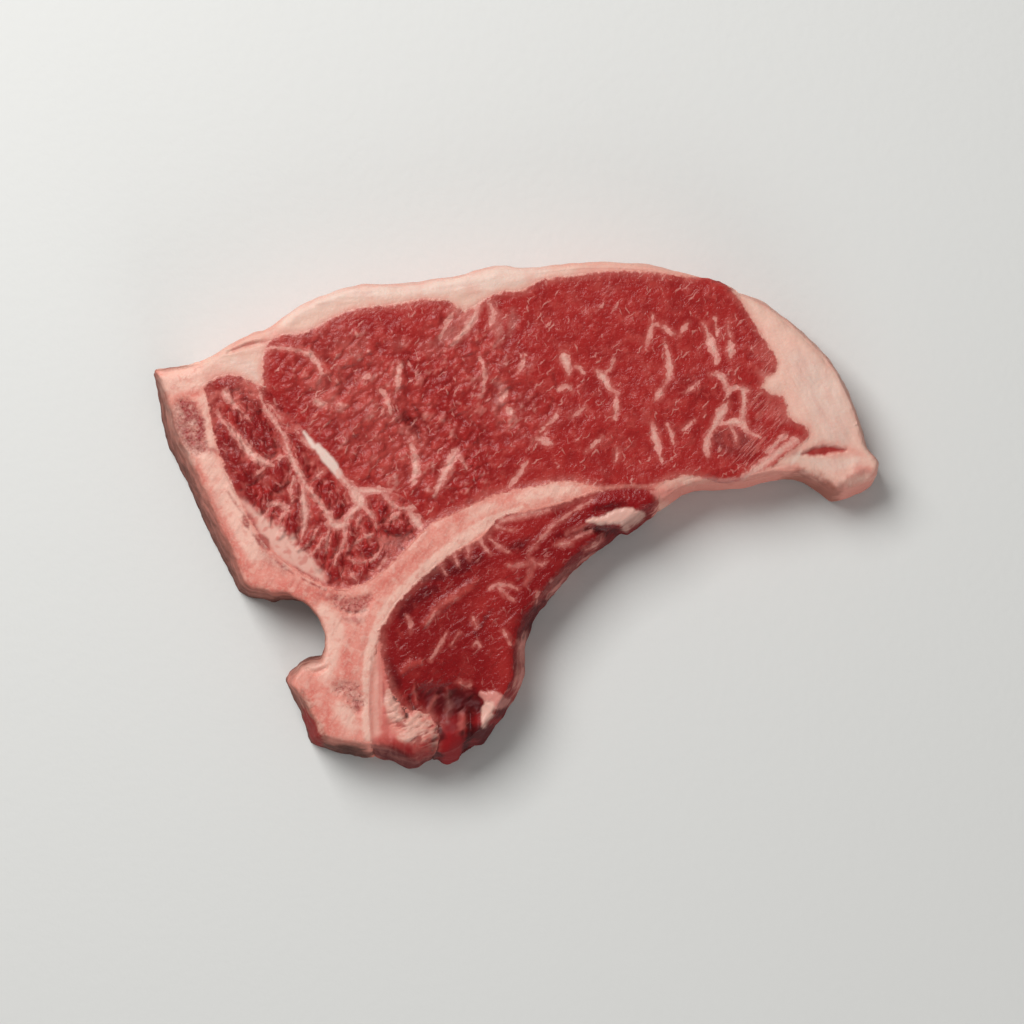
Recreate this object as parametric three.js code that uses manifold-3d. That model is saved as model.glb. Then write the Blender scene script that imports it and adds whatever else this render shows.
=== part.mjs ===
// A raw T-bone steak: one slice across a loin of beef, lying flat on a cut face.
//
// The slice starts as a single slab. Its plan outline is drawn edge by edge, its side is rounded
// and leans out towards the base, and its upper face is slightly uneven. Upright seams then divide
// the slab into the bone, the muscles and the fat, each running from one cut face to the other.
//
// Millimetres. +Z is up, +X points to the fat tail and +Y to the fat cap.

import * as THREE from 'three';
import { mergeVertices } from 'three/addons/utils/BufferGeometryUtils.js';
import Module from 'manifold-3d';

const wasm = await Module();
wasm.setup();

// Driving dimensions
const STEAK_LENGTH = 209; // spine edge to tail tip
const STEAK_THICKNESS = 22; // between the cut faces
const CANAL_RADIUS = 11; // spinal canal, halved by the saw
const SEAM_GAP = 0.3; // clear space between neighbouring pieces
const MEAT_DIP = 0.9; // how far the soft top sinks between its swells
const SWELL_SPACING = 34; // crest to crest
const FURROW_RADIUS = 1.5; // splits between the loose strands of the tenderloin's end

// Fineness of the facets
const OUTLINE_STEP = 3.2; // along outlines and seams
const RIM_LEVELS = 7; // bands up the side
const SURFACE_STEP = 5.5; // across the uneven top
const ROD_SIDES = 10;
const SAME_POINT = 1e-3; // points nearer than this are one point

// The plan below is drawn for a steak of this length, about the point that the eye looks down on.
const DRAWN_LENGTH = 209;
const PLAN_SCALE = STEAK_LENGTH / DRAWN_LENGTH;
const CANAL_CENTRE = [-65, -36.5];
const REACH = 130; // further out than any edge of the steak

// The outer edge, clockwise from the top of the spine. Edges meet in corners. `round` is how far the
// side curls in at the top and bottom, and `lean` is how far the top stands in from the base. Each
// changes gradually from edge to edge, over the number of blends given below.
const RIM_START = [-104.5, 40.5];
const RIM_EDGES = [
  // Fat cap
  {
    round: 3.6,
    lean: 0,
    through: [
      [-92, 42.5], [-82.5, 47], [-75.5, 51], [-70, 52.5], [-63.5, 57.5], [-54.5, 62], [-45, 65],
      [-32, 65.5], [-18, 67.5], [-5, 70.5], [5, 70], [18, 71.5], [34, 71.5], [48.5, 69], [62, 65],
    ],
  },
  // Fat tail
  { round: 3, lean: 1, through: [[75, 59], [87.5, 48.5], [96, 37], [102, 22], [106, 13.5]] },
  // End of the tail
  { round: 2.2, lean: 7, through: [[105.5, 9.5], [101.5, 4.5], [93, 3]] },
  // Underside of the strip loin
  { round: 2.6, lean: 2.5, through: [[83.5, 8.5], [75, 8.5], [65, 6], [53, 5.5], [47.5, 2.5]] },
  // Outer side of the tenderloin
  {
    round: 2.2,
    lean: 4,
    through: [
      [41.5, -2], [34, -7], [23, -13.5], [14, -23], [7, -32], [4.5, -40.5], [4, -49], [-2, -60],
      [-8, -68],
    ],
  },
  // Loose end of the tenderloin
  { round: 3, lean: 5, through: [[-14.5, -73], [-19.5, -74.5], [-24, -73.5], [-29, -76], [-36, -73]] },
  // Sawn foot of the bone
  { round: 0.8, lean: 6.5, through: [[-47.5, -71.5], [-59, -68]] },
  // Sawn side of the bone
  { round: 0.8, lean: 6, through: [[-62, -59], [-66.5, -49]] },
  // Lip of the canal
  { round: 1, lean: 3, through: [[-62, -43.5], [-55.5, -42]] },
  // Canal, as the degrees that its arc runs between
  { round: 0.8, lean: 1, arc: [-30, 115] },
  // Root of the spine
  { round: 1, lean: 3, through: [[-74, -25.5]] },
  // Sawn side of the spine
  {
    round: 1.2,
    lean: 6.5,
    through: [
      [-79.5, -24], [-85, -14], [-90.5, -3], [-96, 9.5], [-101.5, 21], [-103.5, 32.5], RIM_START,
    ],
  },
];
const ROUND_BLENDS = 3;
const LEAN_BLENDS = 14;

// Seams between the pieces, as seen on the upper face.
const SPINE_SEAM = [
  [-88.5, 40], [-87, 33.5], [-84.5, 20.5], [-81, 10.5], [-77.5, 3.5], [-73, -5], [-67.5, -11.5],
  [-60.5, -17], [-52, -21.5], [-47, -22],
];
const PROCESS_TOP_SEAM = [
  [-41.5, -20], [-36, -16], [-27.5, -7.5], [-23.5, -3.5], [-17, -0.5], [-10, 3], [-3, 5.5],
  [4.5, 7], [15.5, 9], [21, 8], [26, 6.8],
];
const PROCESS_UNDER_SEAM = [
  [20, 4.5], [12.5, 2], [4, 0], [-3.5, -1.5], [-9, -7.5], [-17.5, -12], [-23.5, -17],
  [-28.5, -21.5], [-33.5, -27], [-37, -33], [-39, -39], [-40, -46.5], [-40.5, -55], [-40, -66],
];
const SUET_SEAM = [
  [-37, -33], [-37.3, -36.5], [-37, -42], [-35.5, -48], [-33, -53.5], [-29, -57], [-25, -57.5],
  [-21.5, -60.5], [-21.5, -66.5], [-24, -73.5],
];
const CAP_SEAM = [
  [57, 66], [43.5, 68], [28.5, 68.5], [15, 67], [8, 66], [3, 63], [-3.5, 62.5], [-9, 59.5],
  [-14, 57], [-17.5, 60], [-25, 60.5], [-33.5, 59], [-43.5, 58], [-50.5, 55.5], [-56, 52.5],
  [-60.5, 50.5], [-65.5, 50.5], [-69.5, 48], [-71, 43.5], [-71, 35],
];
const CORNER_FAT_SEAM = [[-75, 37.5], [-80.5, 39], [-85.5, 37.5], [-88, 34]];
const TAIL_SEAM = [
  [61.5, 64], [65, 60.5], [68, 55.5], [71, 50.5], [74.5, 45], [76, 41], [72.5, 38.5], [71, 36],
  [74, 33.5], [78, 32.5], [79, 27], [85.5, 22.5], [78.5, 17], [75, 13.5], [69.5, 11], [63.5, 8.5],
  [57, 9], [50.5, 10.5], [45.5, 9.5], [41, 7.5],
];
const TENDERLOIN_TIP_SEAM = [[26, 6.7], [33, 7], [40, 6.5], [46, 3.5]];
const SPINAL_SEAM = [
  [-71, 35], [-65.5, 29.5], [-59.5, 22.5], [-54.5, 17], [-47.5, 8.5], [-41, 5.5], [-34, 5],
  [-28.5, 1.5], [-24, -5],
];

// Each piece's plan, as smooth edges joined by straight runs. A piece gives way to those before it,
// so its edges may run under theirs, and may run out past the rim.
const PIECES = [
  {
    name: 'bone',
    flat: true,
    color: 0xdca596,
    roughness: 0.6,
    edges: [
      [[-89, REACH]],
      SPINE_SEAM,
      PROCESS_TOP_SEAM,
      PROCESS_UNDER_SEAM,
      [[-40, -REACH]],
      [[-REACH, -REACH]],
      [[-REACH, REACH]],
    ],
  },
  {
    name: 'suet',
    color: 0xe3b4a4,
    roughness: 0.45,
    edges: [SUET_SEAM, [[-24, -REACH]], [[-50, -REACH]], [[-50, -36]]],
  },
  {
    name: 'fat_cap',
    color: 0xeccbb9,
    roughness: 0.45,
    edges: [CAP_SEAM, CORNER_FAT_SEAM, [[-98, 36]], [[-98, REACH]], [[60, REACH]]],
  },
  {
    name: 'tail_fat',
    color: 0xeac6b4,
    roughness: 0.45,
    edges: [TAIL_SEAM, [[43, -3]], [[REACH, -3]], [[REACH, REACH]], [[62, REACH]]],
  },
  {
    name: 'tenderloin',
    color: 0x9a2f31,
    roughness: 0.4,
    edges: [
      [...PROCESS_UNDER_SEAM].reverse(),
      TENDERLOIN_TIP_SEAM,
      [[REACH, -10]],
      [[REACH, -REACH]],
      [[-40, -REACH]],
    ],
  },
  {
    name: 'spinal_muscle',
    color: 0x8f2b2e,
    roughness: 0.4,
    edges: [
      SPINAL_SEAM,
      [[-30, -13]],
      [[-45, -25]],
      [[-66, -18]],
      [[-86, 5]],
      [[-92, 42]],
      [[-73, 42]],
    ],
  },
  {
    name: 'strip_loin',
    color: 0xa33a3a,
    roughness: 0.4,
    edges: [
      [[-95, 20]],
      [[-95, REACH]],
      [[REACH, REACH]],
      [[REACH, 0]],
      [[44, 0]],
      [[-35, -25]],
      [[-60, -25]],
    ],
  },
];

// The soft top: two crossing swells, places where it is sunken, and splits at the loose end.
const SWELLS = [
  { run: [1, 0.4], start: 0 },
  { run: [-0.5, 1.3], start: 1 },
];
const HOLLOWS = [
  { at: [-19, -54], radius: 11, depth: 3.2 }, // torn pocket above the loose end
  { at: [-29.5, 25], radius: 6, depth: 1.4 }, // gap between two bundles of the strip loin
  { at: [97, 11], radius: 15, depth: 3 }, // droop of the tail
];
const FURROWS = [[-23.5, -74], [-13, -72], [-33.5, -75.5]];

// Plan geometry

const planPoint = ([x, y]) => new THREE.Vector2(x, y).multiplyScalar(PLAN_SCALE);

// Points along a curve, evenly spaced, without the last one.
function stepsAlong(curve) {
  const count = Math.max(1, Math.round(curve.getLength() / OUTLINE_STEP));
  return curve.getSpacedPoints(count).slice(0, -1);
}

// A closed outline through edges of points: smooth along each edge, straight from one to the next.
function outlineOf(edges) {
  const corners = edges.map((edge) => edge.map(planPoint));
  const points = corners.flatMap((edge, i) => {
    const next = corners[(i + 1) % corners.length][0];
    const smooth = edge.length > 1 ? stepsAlong(new THREE.SplineCurve(edge)) : [];
    return [...smooth, ...stepsAlong(new THREE.LineCurve(edge.at(-1), next))];
  });
  return THREE.ShapeUtils.isClockWise(points) ? points.reverse() : points;
}

// Outward direction at each point of a counter-clockwise outline.
function outwardAlong(points) {
  return points.map((_, i) => {
    const ahead = points[(i + 1) % points.length];
    const behind = points.at(i - 1);
    return new THREE.Vector2(ahead.y - behind.y, behind.x - ahead.x).normalize();
  });
}

// Vectors round a closed outline, each blended with the mean of its neighbours again and again.
function blended(vectors, passes) {
  let now = vectors;
  for (let pass = 0; pass < passes; pass++) {
    now = now.map((vector, i) => {
      const beside = now.at(i - 1).clone().lerp(now[(i + 1) % now.length], 0.5);
      return vector.clone().lerp(beside, 0.5);
    });
  }
  return now;
}

// Solids

// A closed geometry as a solid that can be cut and joined.
function solidOf(geometry) {
  const bare = geometry.clone();
  for (const name of ['normal', 'uv']) bare.deleteAttribute(name);
  const merged = mergeVertices(bare, SAME_POINT);
  return new wasm.Manifold(
    new wasm.Mesh({
      numProp: 3,
      vertProperties: merged.attributes.position.array,
      triVerts: new Uint32Array(merged.index.array),
    }),
  );
}

function geometryOf(solid) {
  const { vertProperties, triVerts } = solid.getMesh();
  const geometry = new THREE.BufferGeometry();
  geometry.setAttribute('position', new THREE.BufferAttribute(vertProperties, 3));
  geometry.setIndex(new THREE.BufferAttribute(triVerts, 1));
  geometry.computeVertexNormals();
  return geometry;
}

// An upright prism on an outline, widened all round by `grow`. It stands out above and below the slab.
function prism(outline, grow = 0) {
  const outward = outwardAlong(outline);
  const points = outline.map((point, i) => point.clone().addScaledVector(outward[i], grow));
  const depth = 3 * STEAK_THICKNESS;
  const geometry = new THREE.ExtrudeGeometry(new THREE.Shape(points), { depth, bevelEnabled: false });
  return solidOf(geometry.translate(0, 0, -STEAK_THICKNESS));
}

// The saw's arc round the spinal canal.
function canalArc(degrees) {
  const { x, y } = planPoint(CANAL_CENTRE);
  const radius = CANAL_RADIUS * PLAN_SCALE;
  const [from, to] = degrees.map(THREE.MathUtils.degToRad);
  return new THREE.EllipseCurve(x, y, radius, radius, from, to);
}

// The rim as points, each with the steps that its side takes inwards to round off and to lean.
function rimStations() {
  const stations = [];
  let from = planPoint(RIM_START);
  for (const { through, arc, round, lean } of RIM_EDGES) {
    const curve = arc ? canalArc(arc) : new THREE.SplineCurve([from, ...through.map(planPoint)]);
    for (const point of stepsAlong(curve)) stations.push({ point, round, lean });
    from = curve.getPoint(1);
  }
  stations.reverse();
  const outward = outwardAlong(stations.map(({ point }) => point));
  const inward = (size) => outward.map((way, i) => way.clone().multiplyScalar(-stations[i][size]));
  const tuck = blended(inward('round'), ROUND_BLENDS);
  const pull = blended(inward('lean'), LEAN_BLENDS);
  return stations.map(({ point }, i) => ({ point, tuck: tuck[i], pull: pull[i] }));
}

// The whole slice with its rounded, leaning side.
function slab() {
  const rim = rimStations();
  const geometry = new THREE.ExtrudeGeometry(
    new THREE.Shape(rim.map(({ point }) => point)),
    { depth: 1, steps: RIM_LEVELS, bevelEnabled: false },
  );
  const position = geometry.attributes.position;
  for (let i = 0; i < position.count; i++) {
    const corner = new THREE.Vector2(position.getX(i), position.getY(i));
    const { tuck, pull } = rim.find(({ point }) => point.distanceTo(corner) < SAME_POINT);
    const turn = Math.PI * position.getZ(i);
    const height = (1 - Math.cos(turn)) / 2;
    corner.addScaledVector(tuck, 1 - Math.sqrt(Math.sin(turn))).addScaledVector(pull, height);
    position.setXYZ(i, corner.x, corner.y, height * STEAK_THICKNESS);
  }
  return solidOf(geometry);
}

// How far the soft top lies below the flat sawn face.
function dip(x, y) {
  const wave = (2 * Math.PI) / SWELL_SPACING;
  const swells = SWELLS.map(({ run, start }) => {
    const rise = (1 + Math.sin(wave * (run[0] * x + run[1] * y) + start)) / 2;
    return (rise * MEAT_DIP) / SWELLS.length;
  });
  const hollows = HOLLOWS.map(({ at, radius, depth }) => {
    const away = new THREE.Vector2(x, y).distanceTo(planPoint(at)) / (radius * PLAN_SCALE);
    return depth * Math.exp(-away * away);
  });
  return [...swells, ...hollows].reduce((sum, depth) => sum + depth);
}

// A block up to the uneven top, to trim the slab with.
function unevenBlock() {
  const side = 2 * REACH * PLAN_SCALE;
  const cells = Math.round(side / SURFACE_STEP);
  const geometry = new THREE.BoxGeometry(side, side, 2 * STEAK_THICKNESS, cells, cells, 1);
  const position = geometry.attributes.position;
  for (let i = 0; i < position.count; i++) {
    const [x, y] = [position.getX(i), position.getY(i)];
    if (position.getZ(i) > 0) position.setZ(i, STEAK_THICKNESS - dip(x, y));
  }
  return solidOf(geometry);
}

// Upright rods that split the loose end of the tenderloin into strands.
function furrows() {
  const rods = FURROWS.map((at) => {
    const { x, y } = planPoint(at);
    const length = 4 * STEAK_THICKNESS;
    const rod = new THREE.CylinderGeometry(FURROW_RADIUS, FURROW_RADIUS, length, ROD_SIDES);
    return solidOf(rod.rotateX(Math.PI / 2).translate(x, y, 0));
  });
  return rods.reduce((joined, rod) => joined.add(rod));
}

const largestOf = (solid) => solid.decompose().sort((a, b) => b.volume() - a.volume())[0];

// The steak: the slab divided piece by piece, each clear of the ones before it.
function steak() {
  const sawn = slab();
  const soft = sawn.intersect(unevenBlock()).subtract(furrows());
  const group = new THREE.Group();
  let taken = null;
  for (const { name, edges, flat, color, roughness } of PIECES) {
    const outline = outlineOf(edges);
    const cut = (flat ? sawn : soft).intersect(prism(outline));
    const piece = largestOf(taken ? cut.subtract(taken) : cut);
    const material = new THREE.MeshStandardMaterial({ color, roughness, metalness: 0 });
    const mesh = new THREE.Mesh(geometryOf(piece), material);
    mesh.name = name;
    group.add(mesh);
    const claimed = prism(outline, SEAM_GAP);
    taken = taken ? taken.add(claimed) : claimed;
  }
  const middle = new THREE.Box3().setFromObject(group).getCenter(new THREE.Vector3());
  group.position.set(-middle.x, -middle.y, 0);
  return group;
}

export default steak();
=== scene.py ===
"""A raw T-bone steak: the looks of its bone, muscles and fat, modelled over its solids."""

import math

import bpy
import numpy as np
from bpy.props import FloatProperty, FloatVectorProperty, PointerProperty
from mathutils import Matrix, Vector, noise
from mathutils.bvhtree import BVHTree


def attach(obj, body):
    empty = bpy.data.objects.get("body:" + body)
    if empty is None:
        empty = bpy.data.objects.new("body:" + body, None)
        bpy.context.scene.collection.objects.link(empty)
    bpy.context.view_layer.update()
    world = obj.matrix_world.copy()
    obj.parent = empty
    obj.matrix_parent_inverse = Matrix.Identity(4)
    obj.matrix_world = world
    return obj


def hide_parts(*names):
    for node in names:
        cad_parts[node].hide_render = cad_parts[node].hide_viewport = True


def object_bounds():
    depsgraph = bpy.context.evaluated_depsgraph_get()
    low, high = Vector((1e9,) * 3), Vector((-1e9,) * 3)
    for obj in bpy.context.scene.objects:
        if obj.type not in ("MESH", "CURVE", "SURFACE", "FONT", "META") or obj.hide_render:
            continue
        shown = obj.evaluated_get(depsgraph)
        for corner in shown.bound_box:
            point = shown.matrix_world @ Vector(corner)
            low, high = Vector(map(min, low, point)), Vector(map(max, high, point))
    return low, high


bl_info = {
    "name": "T-bone steak",
    "version": (1, 0, 0),
    "blender": (4, 5, 0),
    "location": "View3D > Sidebar > Steak",
    "description": "Models the bone, muscles and fat of a raw T-bone steak over its solids",
    "category": "Add Mesh",
}

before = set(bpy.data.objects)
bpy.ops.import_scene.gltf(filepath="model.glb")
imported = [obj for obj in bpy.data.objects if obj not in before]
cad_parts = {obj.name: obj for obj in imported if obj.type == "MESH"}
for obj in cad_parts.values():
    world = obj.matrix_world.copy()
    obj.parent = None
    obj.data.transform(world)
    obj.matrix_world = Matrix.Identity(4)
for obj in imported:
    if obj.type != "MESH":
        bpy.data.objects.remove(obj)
CAD_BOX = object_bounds()

MM = 0.001
TOP = CAD_BOX[1].z / MM

# The photograph looks straight down. Its pixels are places on the upper face.
IMAGE = 1024
PIXEL = 0.285  # mm
EYE = (-0.609, 1.431)  # mm, the place below the camera
EYE_HEIGHT = 800  # mm above the upper face
SENSOR = 36  # mm

# The studio, in metres
FLOOR_WIDTH = 6
LAMP_WIDTH = 0.6
KEY_PLACE = (-0.45, 0.6, 0.9)
FRONT_PLACE = (0.3, -0.85, 0.25)

# A node lies over its neighbours that come later here, and under those that come earlier.
ORDER = ("spinal_muscle", "strip_loin", "tenderloin", "suet", "fat_cap", "tail_fat", "bone")
LEAN = ORDER[:3]
REACH = 6.0  # mm, how far a neighbour or a stroke is felt

# Waves and edges that all pieces have, in mm
SWELL_HEIGHT = 0.25  # of the gentle swells on the cut faces
SIDE_SWELL = 0.3  # how far the open side is pushed out
FRAY = 1.8  # width of the waves in the edge of a stroke
UNDERLAP = 0.5  # how far a piece is stretched under its neighbours

# Ways that fibres and saw marks run on the upper face, in degrees from the steak's length
FIBRE_GRAIN = 46
SAW_GRAIN = 60


def linear(code):
    """A colour's linear red, green and blue from its sRGB hex code."""
    shares = [int(code[i : i + 2], 16) / 255 for i in (0, 2, 4)]
    return [s / 12.92 if s <= 0.04045 else ((s + 0.055) / 1.055) ** 2.4 for s in shares]


def colour(name, code, description):
    """A colour that a user can change."""
    return FloatVectorProperty(
        name=name, description=description, default=linear(code), subtype="COLOR", size=3, min=0, max=1
    )


def length(name, size, description):
    """A length that a user can change, given in mm."""
    return FloatProperty(name=name, description=description, default=size * MM, min=0, unit="LENGTH")


def power(name, watts, description):
    """A lamp's power that a user can change."""
    return FloatProperty(name=name, description=description, default=watts, min=0, unit="POWER")


class SteakSizes(bpy.types.PropertyGroup):
    """Sizes of the steak's surface."""

    loin_voxel: length("Loin voxel", 0.73, "Fineness of the strip loin's skin before its top is split")
    voxel: length("Voxel", 0.52, "Fineness of the other pieces' skins before their tops are split")
    overlap: length("Overlap", 1.8, "How far a piece is stretched over its neighbours")
    swell: length("Swell", 11, "Width of the gentle swells on the cut faces")
    clump: length("Clump", 3.3, "Width of the strip loin's clumps of fibres")
    crumb: length("Crumb", 0.9, "Width of the finest relief on cut muscle")


class SteakColours(bpy.types.PropertyGroup):
    """Colours of the steak."""

    lean: colour("Lean", "a12724", "Cut muscle")
    # Dark lean is also painted shade: in the strip loin's hollows between clumps, and low on the open side.
    lean_dark_and_shade: colour("Dark lean", "84191a", "Deep muscle between bundles")
    lean_light: colour("Light lean", "b94b43", "Muscle with fine fat in it")
    tender: colour("Tenderloin", "801315", "Cut tenderloin")
    # Dark tenderloin is also painted shade: in clefts and folds, in the pocket, below the process, between
    # the clumps and low on the sides.
    tender_dark_and_shade: colour("Dark tenderloin", "540b10", "Deep folds of the tenderloin")
    crimson: colour("Crimson", "8a1014", "Wet uncut muscle")
    # Blood is also painted shade: in the deepest clefts and hollows, and on the lobe that lies in shade.
    blood_and_shade: colour("Blood", "380509", "Muscle in deep hollows")
    # Film is also painted shade: on the tail's lower facets and low on the fat's sides.
    film_and_shade: colour("Film", "c46a60", "Thin films of fat between bundles")
    vein: colour("Vein", "d28a7f", "Veins of fat")
    vein_pale: colour("Pale vein", "dfae9f", "Middle of the widest veins")
    tendon: colour("Tendon", "e6cabd", "White tendon")
    fat: colour("Fat", "dbb2a1", "Cut fat")
    # White fat is also a painted highlight: along the cap's top edge, and on the lit facet and a ridge of the
    # tail.
    white_fat_and_highlight: colour("White fat", "dec2b4", "Thick outer fat")
    fat_pink: colour("Pink fat", "d5887a", "Fat next to muscle")
    suet: colour("Suet", "c96c62", "Kidney fat")
    bone: colour("Bone", "db8b7c", "Sawn spongy bone")
    bone_pale: colour("Pale bone", "e7b8a7", "Hard rim of the bone")
    blush: colour("Blush", "cd6a5d", "Spongy bone full of marrow")
    # Stale is also a painted shadow beside a fold of the tail.
    stale_and_shade: colour("Stale", "9c5e56", "Smeared marrow and dull membranes")
    marrow: colour("Marrow", "902629", "Red marrow in open pores")
    # Rind is the bone's brownish outside, and also painted shade on that side and on the tail's lower facets.
    rind_and_shade: colour("Rind", "965a4c", "Outside of the bone and membranes")
    # Dark rind is painted shade on the lower part of the bone's outside.
    rind_shade: colour("Dark rind", "3f211b", "Lower part of the outside")
    floor: colour("Floor", "d8d8d5", "Studio floor")


class StageSettings(bpy.types.PropertyGroup):
    """Light of the studio."""

    key: power("Key", 14, "Power of the lamp behind")
    front: power("Front", 2.8, "Power of the lamp in front")
    fill: FloatProperty(name="Fill", description="Strength of the light all round", default=0.22, min=0)


# Features drawn on the upper face, from the photograph. A stroke is its widths in mm from one end to the
# other, and its line in pixels. A coat of paint is a shade, its strength, the blur of its edge in mm and
# its strokes.

TENDON = [
    ((0.6, 1.5, 1.6), [(304, 432), (309, 440), (314, 447)]),
    ((2.0, 3.0, 3.0, 2.2), [(317, 447), (325, 456), (333, 466), (339, 475)]),
]
TENDON_END = [
    ((2.2, 2.2, 2.0, 2.2, 1.0), [(338, 474), (349, 486), (362, 492), (376, 490), (390, 492)]),
    ((1.2, 1.6, 1.0, 1.4, 0.5), [(382, 493), (388, 500), (394, 506), (404, 509), (412, 507)]),
    ((0.4, 1.0, 0.8), [(296, 430), (304, 441), (312, 450)]),
]
# A fold between the suet and the tenderloin
SUET_FOLD = [((0.6, 2.2, 3.0), [(437, 724), (435, 744), (431, 766)])]
# Fat between the strip loin and the tenderloin, beyond the process
PROCESS_LINE = [((3.0, 1.4, 1.0, 1.2, 2.6), [(578, 490), (598, 489), (620, 486), (645, 487), (668, 487)])]
WEDGE = [
    (
        (1.2, 2.2, 4.6, 6.6, 5.6, 4.4, 1.4),
        [(240, 500), (254, 514), (267, 528), (282, 547), (298, 558), (312, 568), (326, 579)],
    ),
    ((2.0, 3.0, 0.6), [(290, 548), (292, 541), (293, 535)]),
    ((2.0, 1.6, 0.4), [(272, 532), (277, 528), (283, 527)]),
    ((2.0, 1.4, 0.6), [(262, 522), (260, 516), (259, 511)]),
]
RED_SPOTS = [
    ((0.5, 1.5, 1.7, 0.6), [(243, 513), (245, 519), (247, 525), (249, 529)]),
    ((0.4, 1.2, 3.0, 2.6, 1.0), [(252, 533), (257, 537), (262, 540), (266, 545), (269, 549)]),
    ((0.3, 1.2, 0.9, 0.3), [(276, 561), (283, 566), (288, 570), (294, 574)]),
    ((0.2, 0.5, 0.4), [(228, 492), (236, 505), (243, 514)]),
    ((0.2, 0.5, 0.2), [(300, 577), (312, 584), (326, 590)]),
]

STRIP_VEINS = [
    # Middle
    ((1.0, 2.4, 2.2, 1.4, 0.8), [(597, 371), (602, 375), (607, 383), (611, 390), (618, 393)]),
    ((0.9, 1.4, 1.2), [(616, 394), (617, 405), (615, 417)]),
    ((2.4, 3.0, 1.8, 0.6), [(564, 356), (566, 361), (569, 369), (569, 376)]),
    ((0.5, 1.0, 0.4), [(575, 366), (580, 369), (584, 373)]),
    ((0.4, 1.2, 1.3, 0.5), [(558, 390), (562, 387), (568, 386), (572, 391)]),
    ((0.3, 0.8, 1.2, 0.4), [(540, 432), (548, 424), (553, 420), (558, 412)]),
    ((1.0, 2.2, 1.0), [(537, 439), (544, 440), (551, 444)]),
    ((0.3, 1.0, 0.3), [(571, 418), (579, 412), (586, 407)]),
    ((0.2, 0.8, 0.3), [(586, 452), (594, 445), (603, 437)]),
    ((0.6, 1.2, 0.4), [(525, 355), (521, 366), (518, 374)]),
    ((1.0, 1.5, 0.8), [(506, 392), (505, 396), (502, 400)]),
    ((1.4, 2.2, 1.2), [(508, 409), (510, 410), (512, 414)]),
    ((0.3, 0.8, 0.3), [(606, 372), (612, 367), (614, 358)]),
    # Right
    ((0.4, 1.2, 1.2, 0.6), [(646, 349), (649, 337), (652, 324), (653, 316)]),
    ((0.7, 1.3, 0.6), [(656, 324), (665, 328), (674, 334)]),
    ((0.4, 1.2, 1.8, 1.3, 0.5), [(664, 340), (668, 352), (670, 364), (669, 376), (664, 388)]),
    ((0.8, 1.9, 0.6), [(664, 386), (660, 394), (655, 400)]),
    ((0.2, 1.0, 2.8, 1.9, 0.7), [(703, 322), (709, 337), (713, 347), (717, 358), (716, 364)]),
    ((0.5, 2.8, 0.6), [(730, 341), (731, 349), (730, 358)]),
    ((0.5, 0.9, 0.3), [(728, 322), (728, 331), (731, 338)]),
    ((0.4, 0.7, 0.3), [(715, 318), (716, 327), (718, 335)]),
    ((0.8, 2.0, 1.8, 1.6, 0.8), [(712, 375), (719, 374), (726, 383), (729, 391), (727, 397)]),
    ((1.2, 1.0, 1.6), [(728, 388), (738, 387), (748, 390)]),
    ((0.8, 3.0, 2.4, 1.2), [(728, 402), (723, 411), (717, 421), (711, 432)]),
    ((1.2, 1.7, 2.0, 0.8), [(711, 431), (707, 440), (707, 449), (708, 456)]),
    ((1.6, 2.0, 1.4, 2.2), [(743, 389), (745, 402), (742, 415), (745, 427)]),
    ((0.8, 1.4, 2.8, 1.4), [(715, 424), (726, 423), (738, 421), (746, 425)]),
    ((1.4, 1.0, 0.3), [(730, 424), (734, 433), (737, 444)]),
    ((1.0, 1.6, 0.4), [(746, 428), (752, 434), (760, 438)]),
    ((0.8, 2.2, 1.4, 0.4), [(652, 424), (655, 438), (659, 450), (662, 462)]),
    ((0.5, 1.0, 0.4), [(668, 424), (671, 434), (674, 443)]),
    ((0.3, 0.7, 0.3), [(683, 430), (689, 426), (694, 420)]),
    ((0.3, 0.8, 0.3), [(686, 392), (692, 388), (699, 382)]),
    ((0.5, 1.1, 0.4), [(617, 448), (618, 455), (616, 461)]),
    ((0.3, 0.6, 0.2), [(680, 336), (684, 328), (688, 323)]),
    # Left
    ((0.4, 1.3, 1.0, 0.4), [(479, 357), (484, 365), (484, 378), (482, 392)]),
    ((0.8, 2.0, 2.6, 1.6), [(411, 443), (415, 455), (416, 470), (414, 482)]),
    ((2.2, 2.4, 1.8, 0.8), [(455, 452), (448, 468), (440, 482), (435, 495)]),
    ((1.3, 0.9, 0.4), [(456, 452), (463, 462), (467, 468)]),
    ((1.6, 1.8, 1.4, 0.4), [(400, 366), (398, 372), (398, 382), (397, 392)]),
    ((0.8, 1.8, 1.6, 0.5), [(381, 390), (386, 396), (389, 406), (391, 414)]),
    ((1.2, 1.6, 1.8, 1.8, 0.6), [(298, 350), (308, 353), (314, 358), (319, 366), (322, 374)]),
    ((1.4, 1.2, 1.0), [(262, 349), (280, 347), (298, 351)]),
    ((1.0, 2.2, 1.8, 0.6), [(478, 303), (474, 318), (464, 332), (452, 345)]),
    ((0.8, 1.6, 0.6), [(490, 304), (494, 315), (489, 328)]),
    ((0.6, 1.4, 0.4), [(455, 310), (448, 322), (440, 338)]),
    ((0.5, 1.3, 0.9), [(527, 462), (520, 472), (510, 486)]),
    ((1.6, 2.2, 1.2), [(315, 401), (319, 403), (325, 405)]),
    ((0.8, 1.4, 0.8), [(360, 377), (364, 378), (368, 377)]),
    # Low
    ((2.6, 2.8, 2.4, 2.0), [(746, 478), (764, 464), (778, 452), (796, 440)]),
    ((1.0, 1.6, 1.4), [(766, 452), (774, 446), (784, 436)]),
    *TENDON_END,
]
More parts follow.
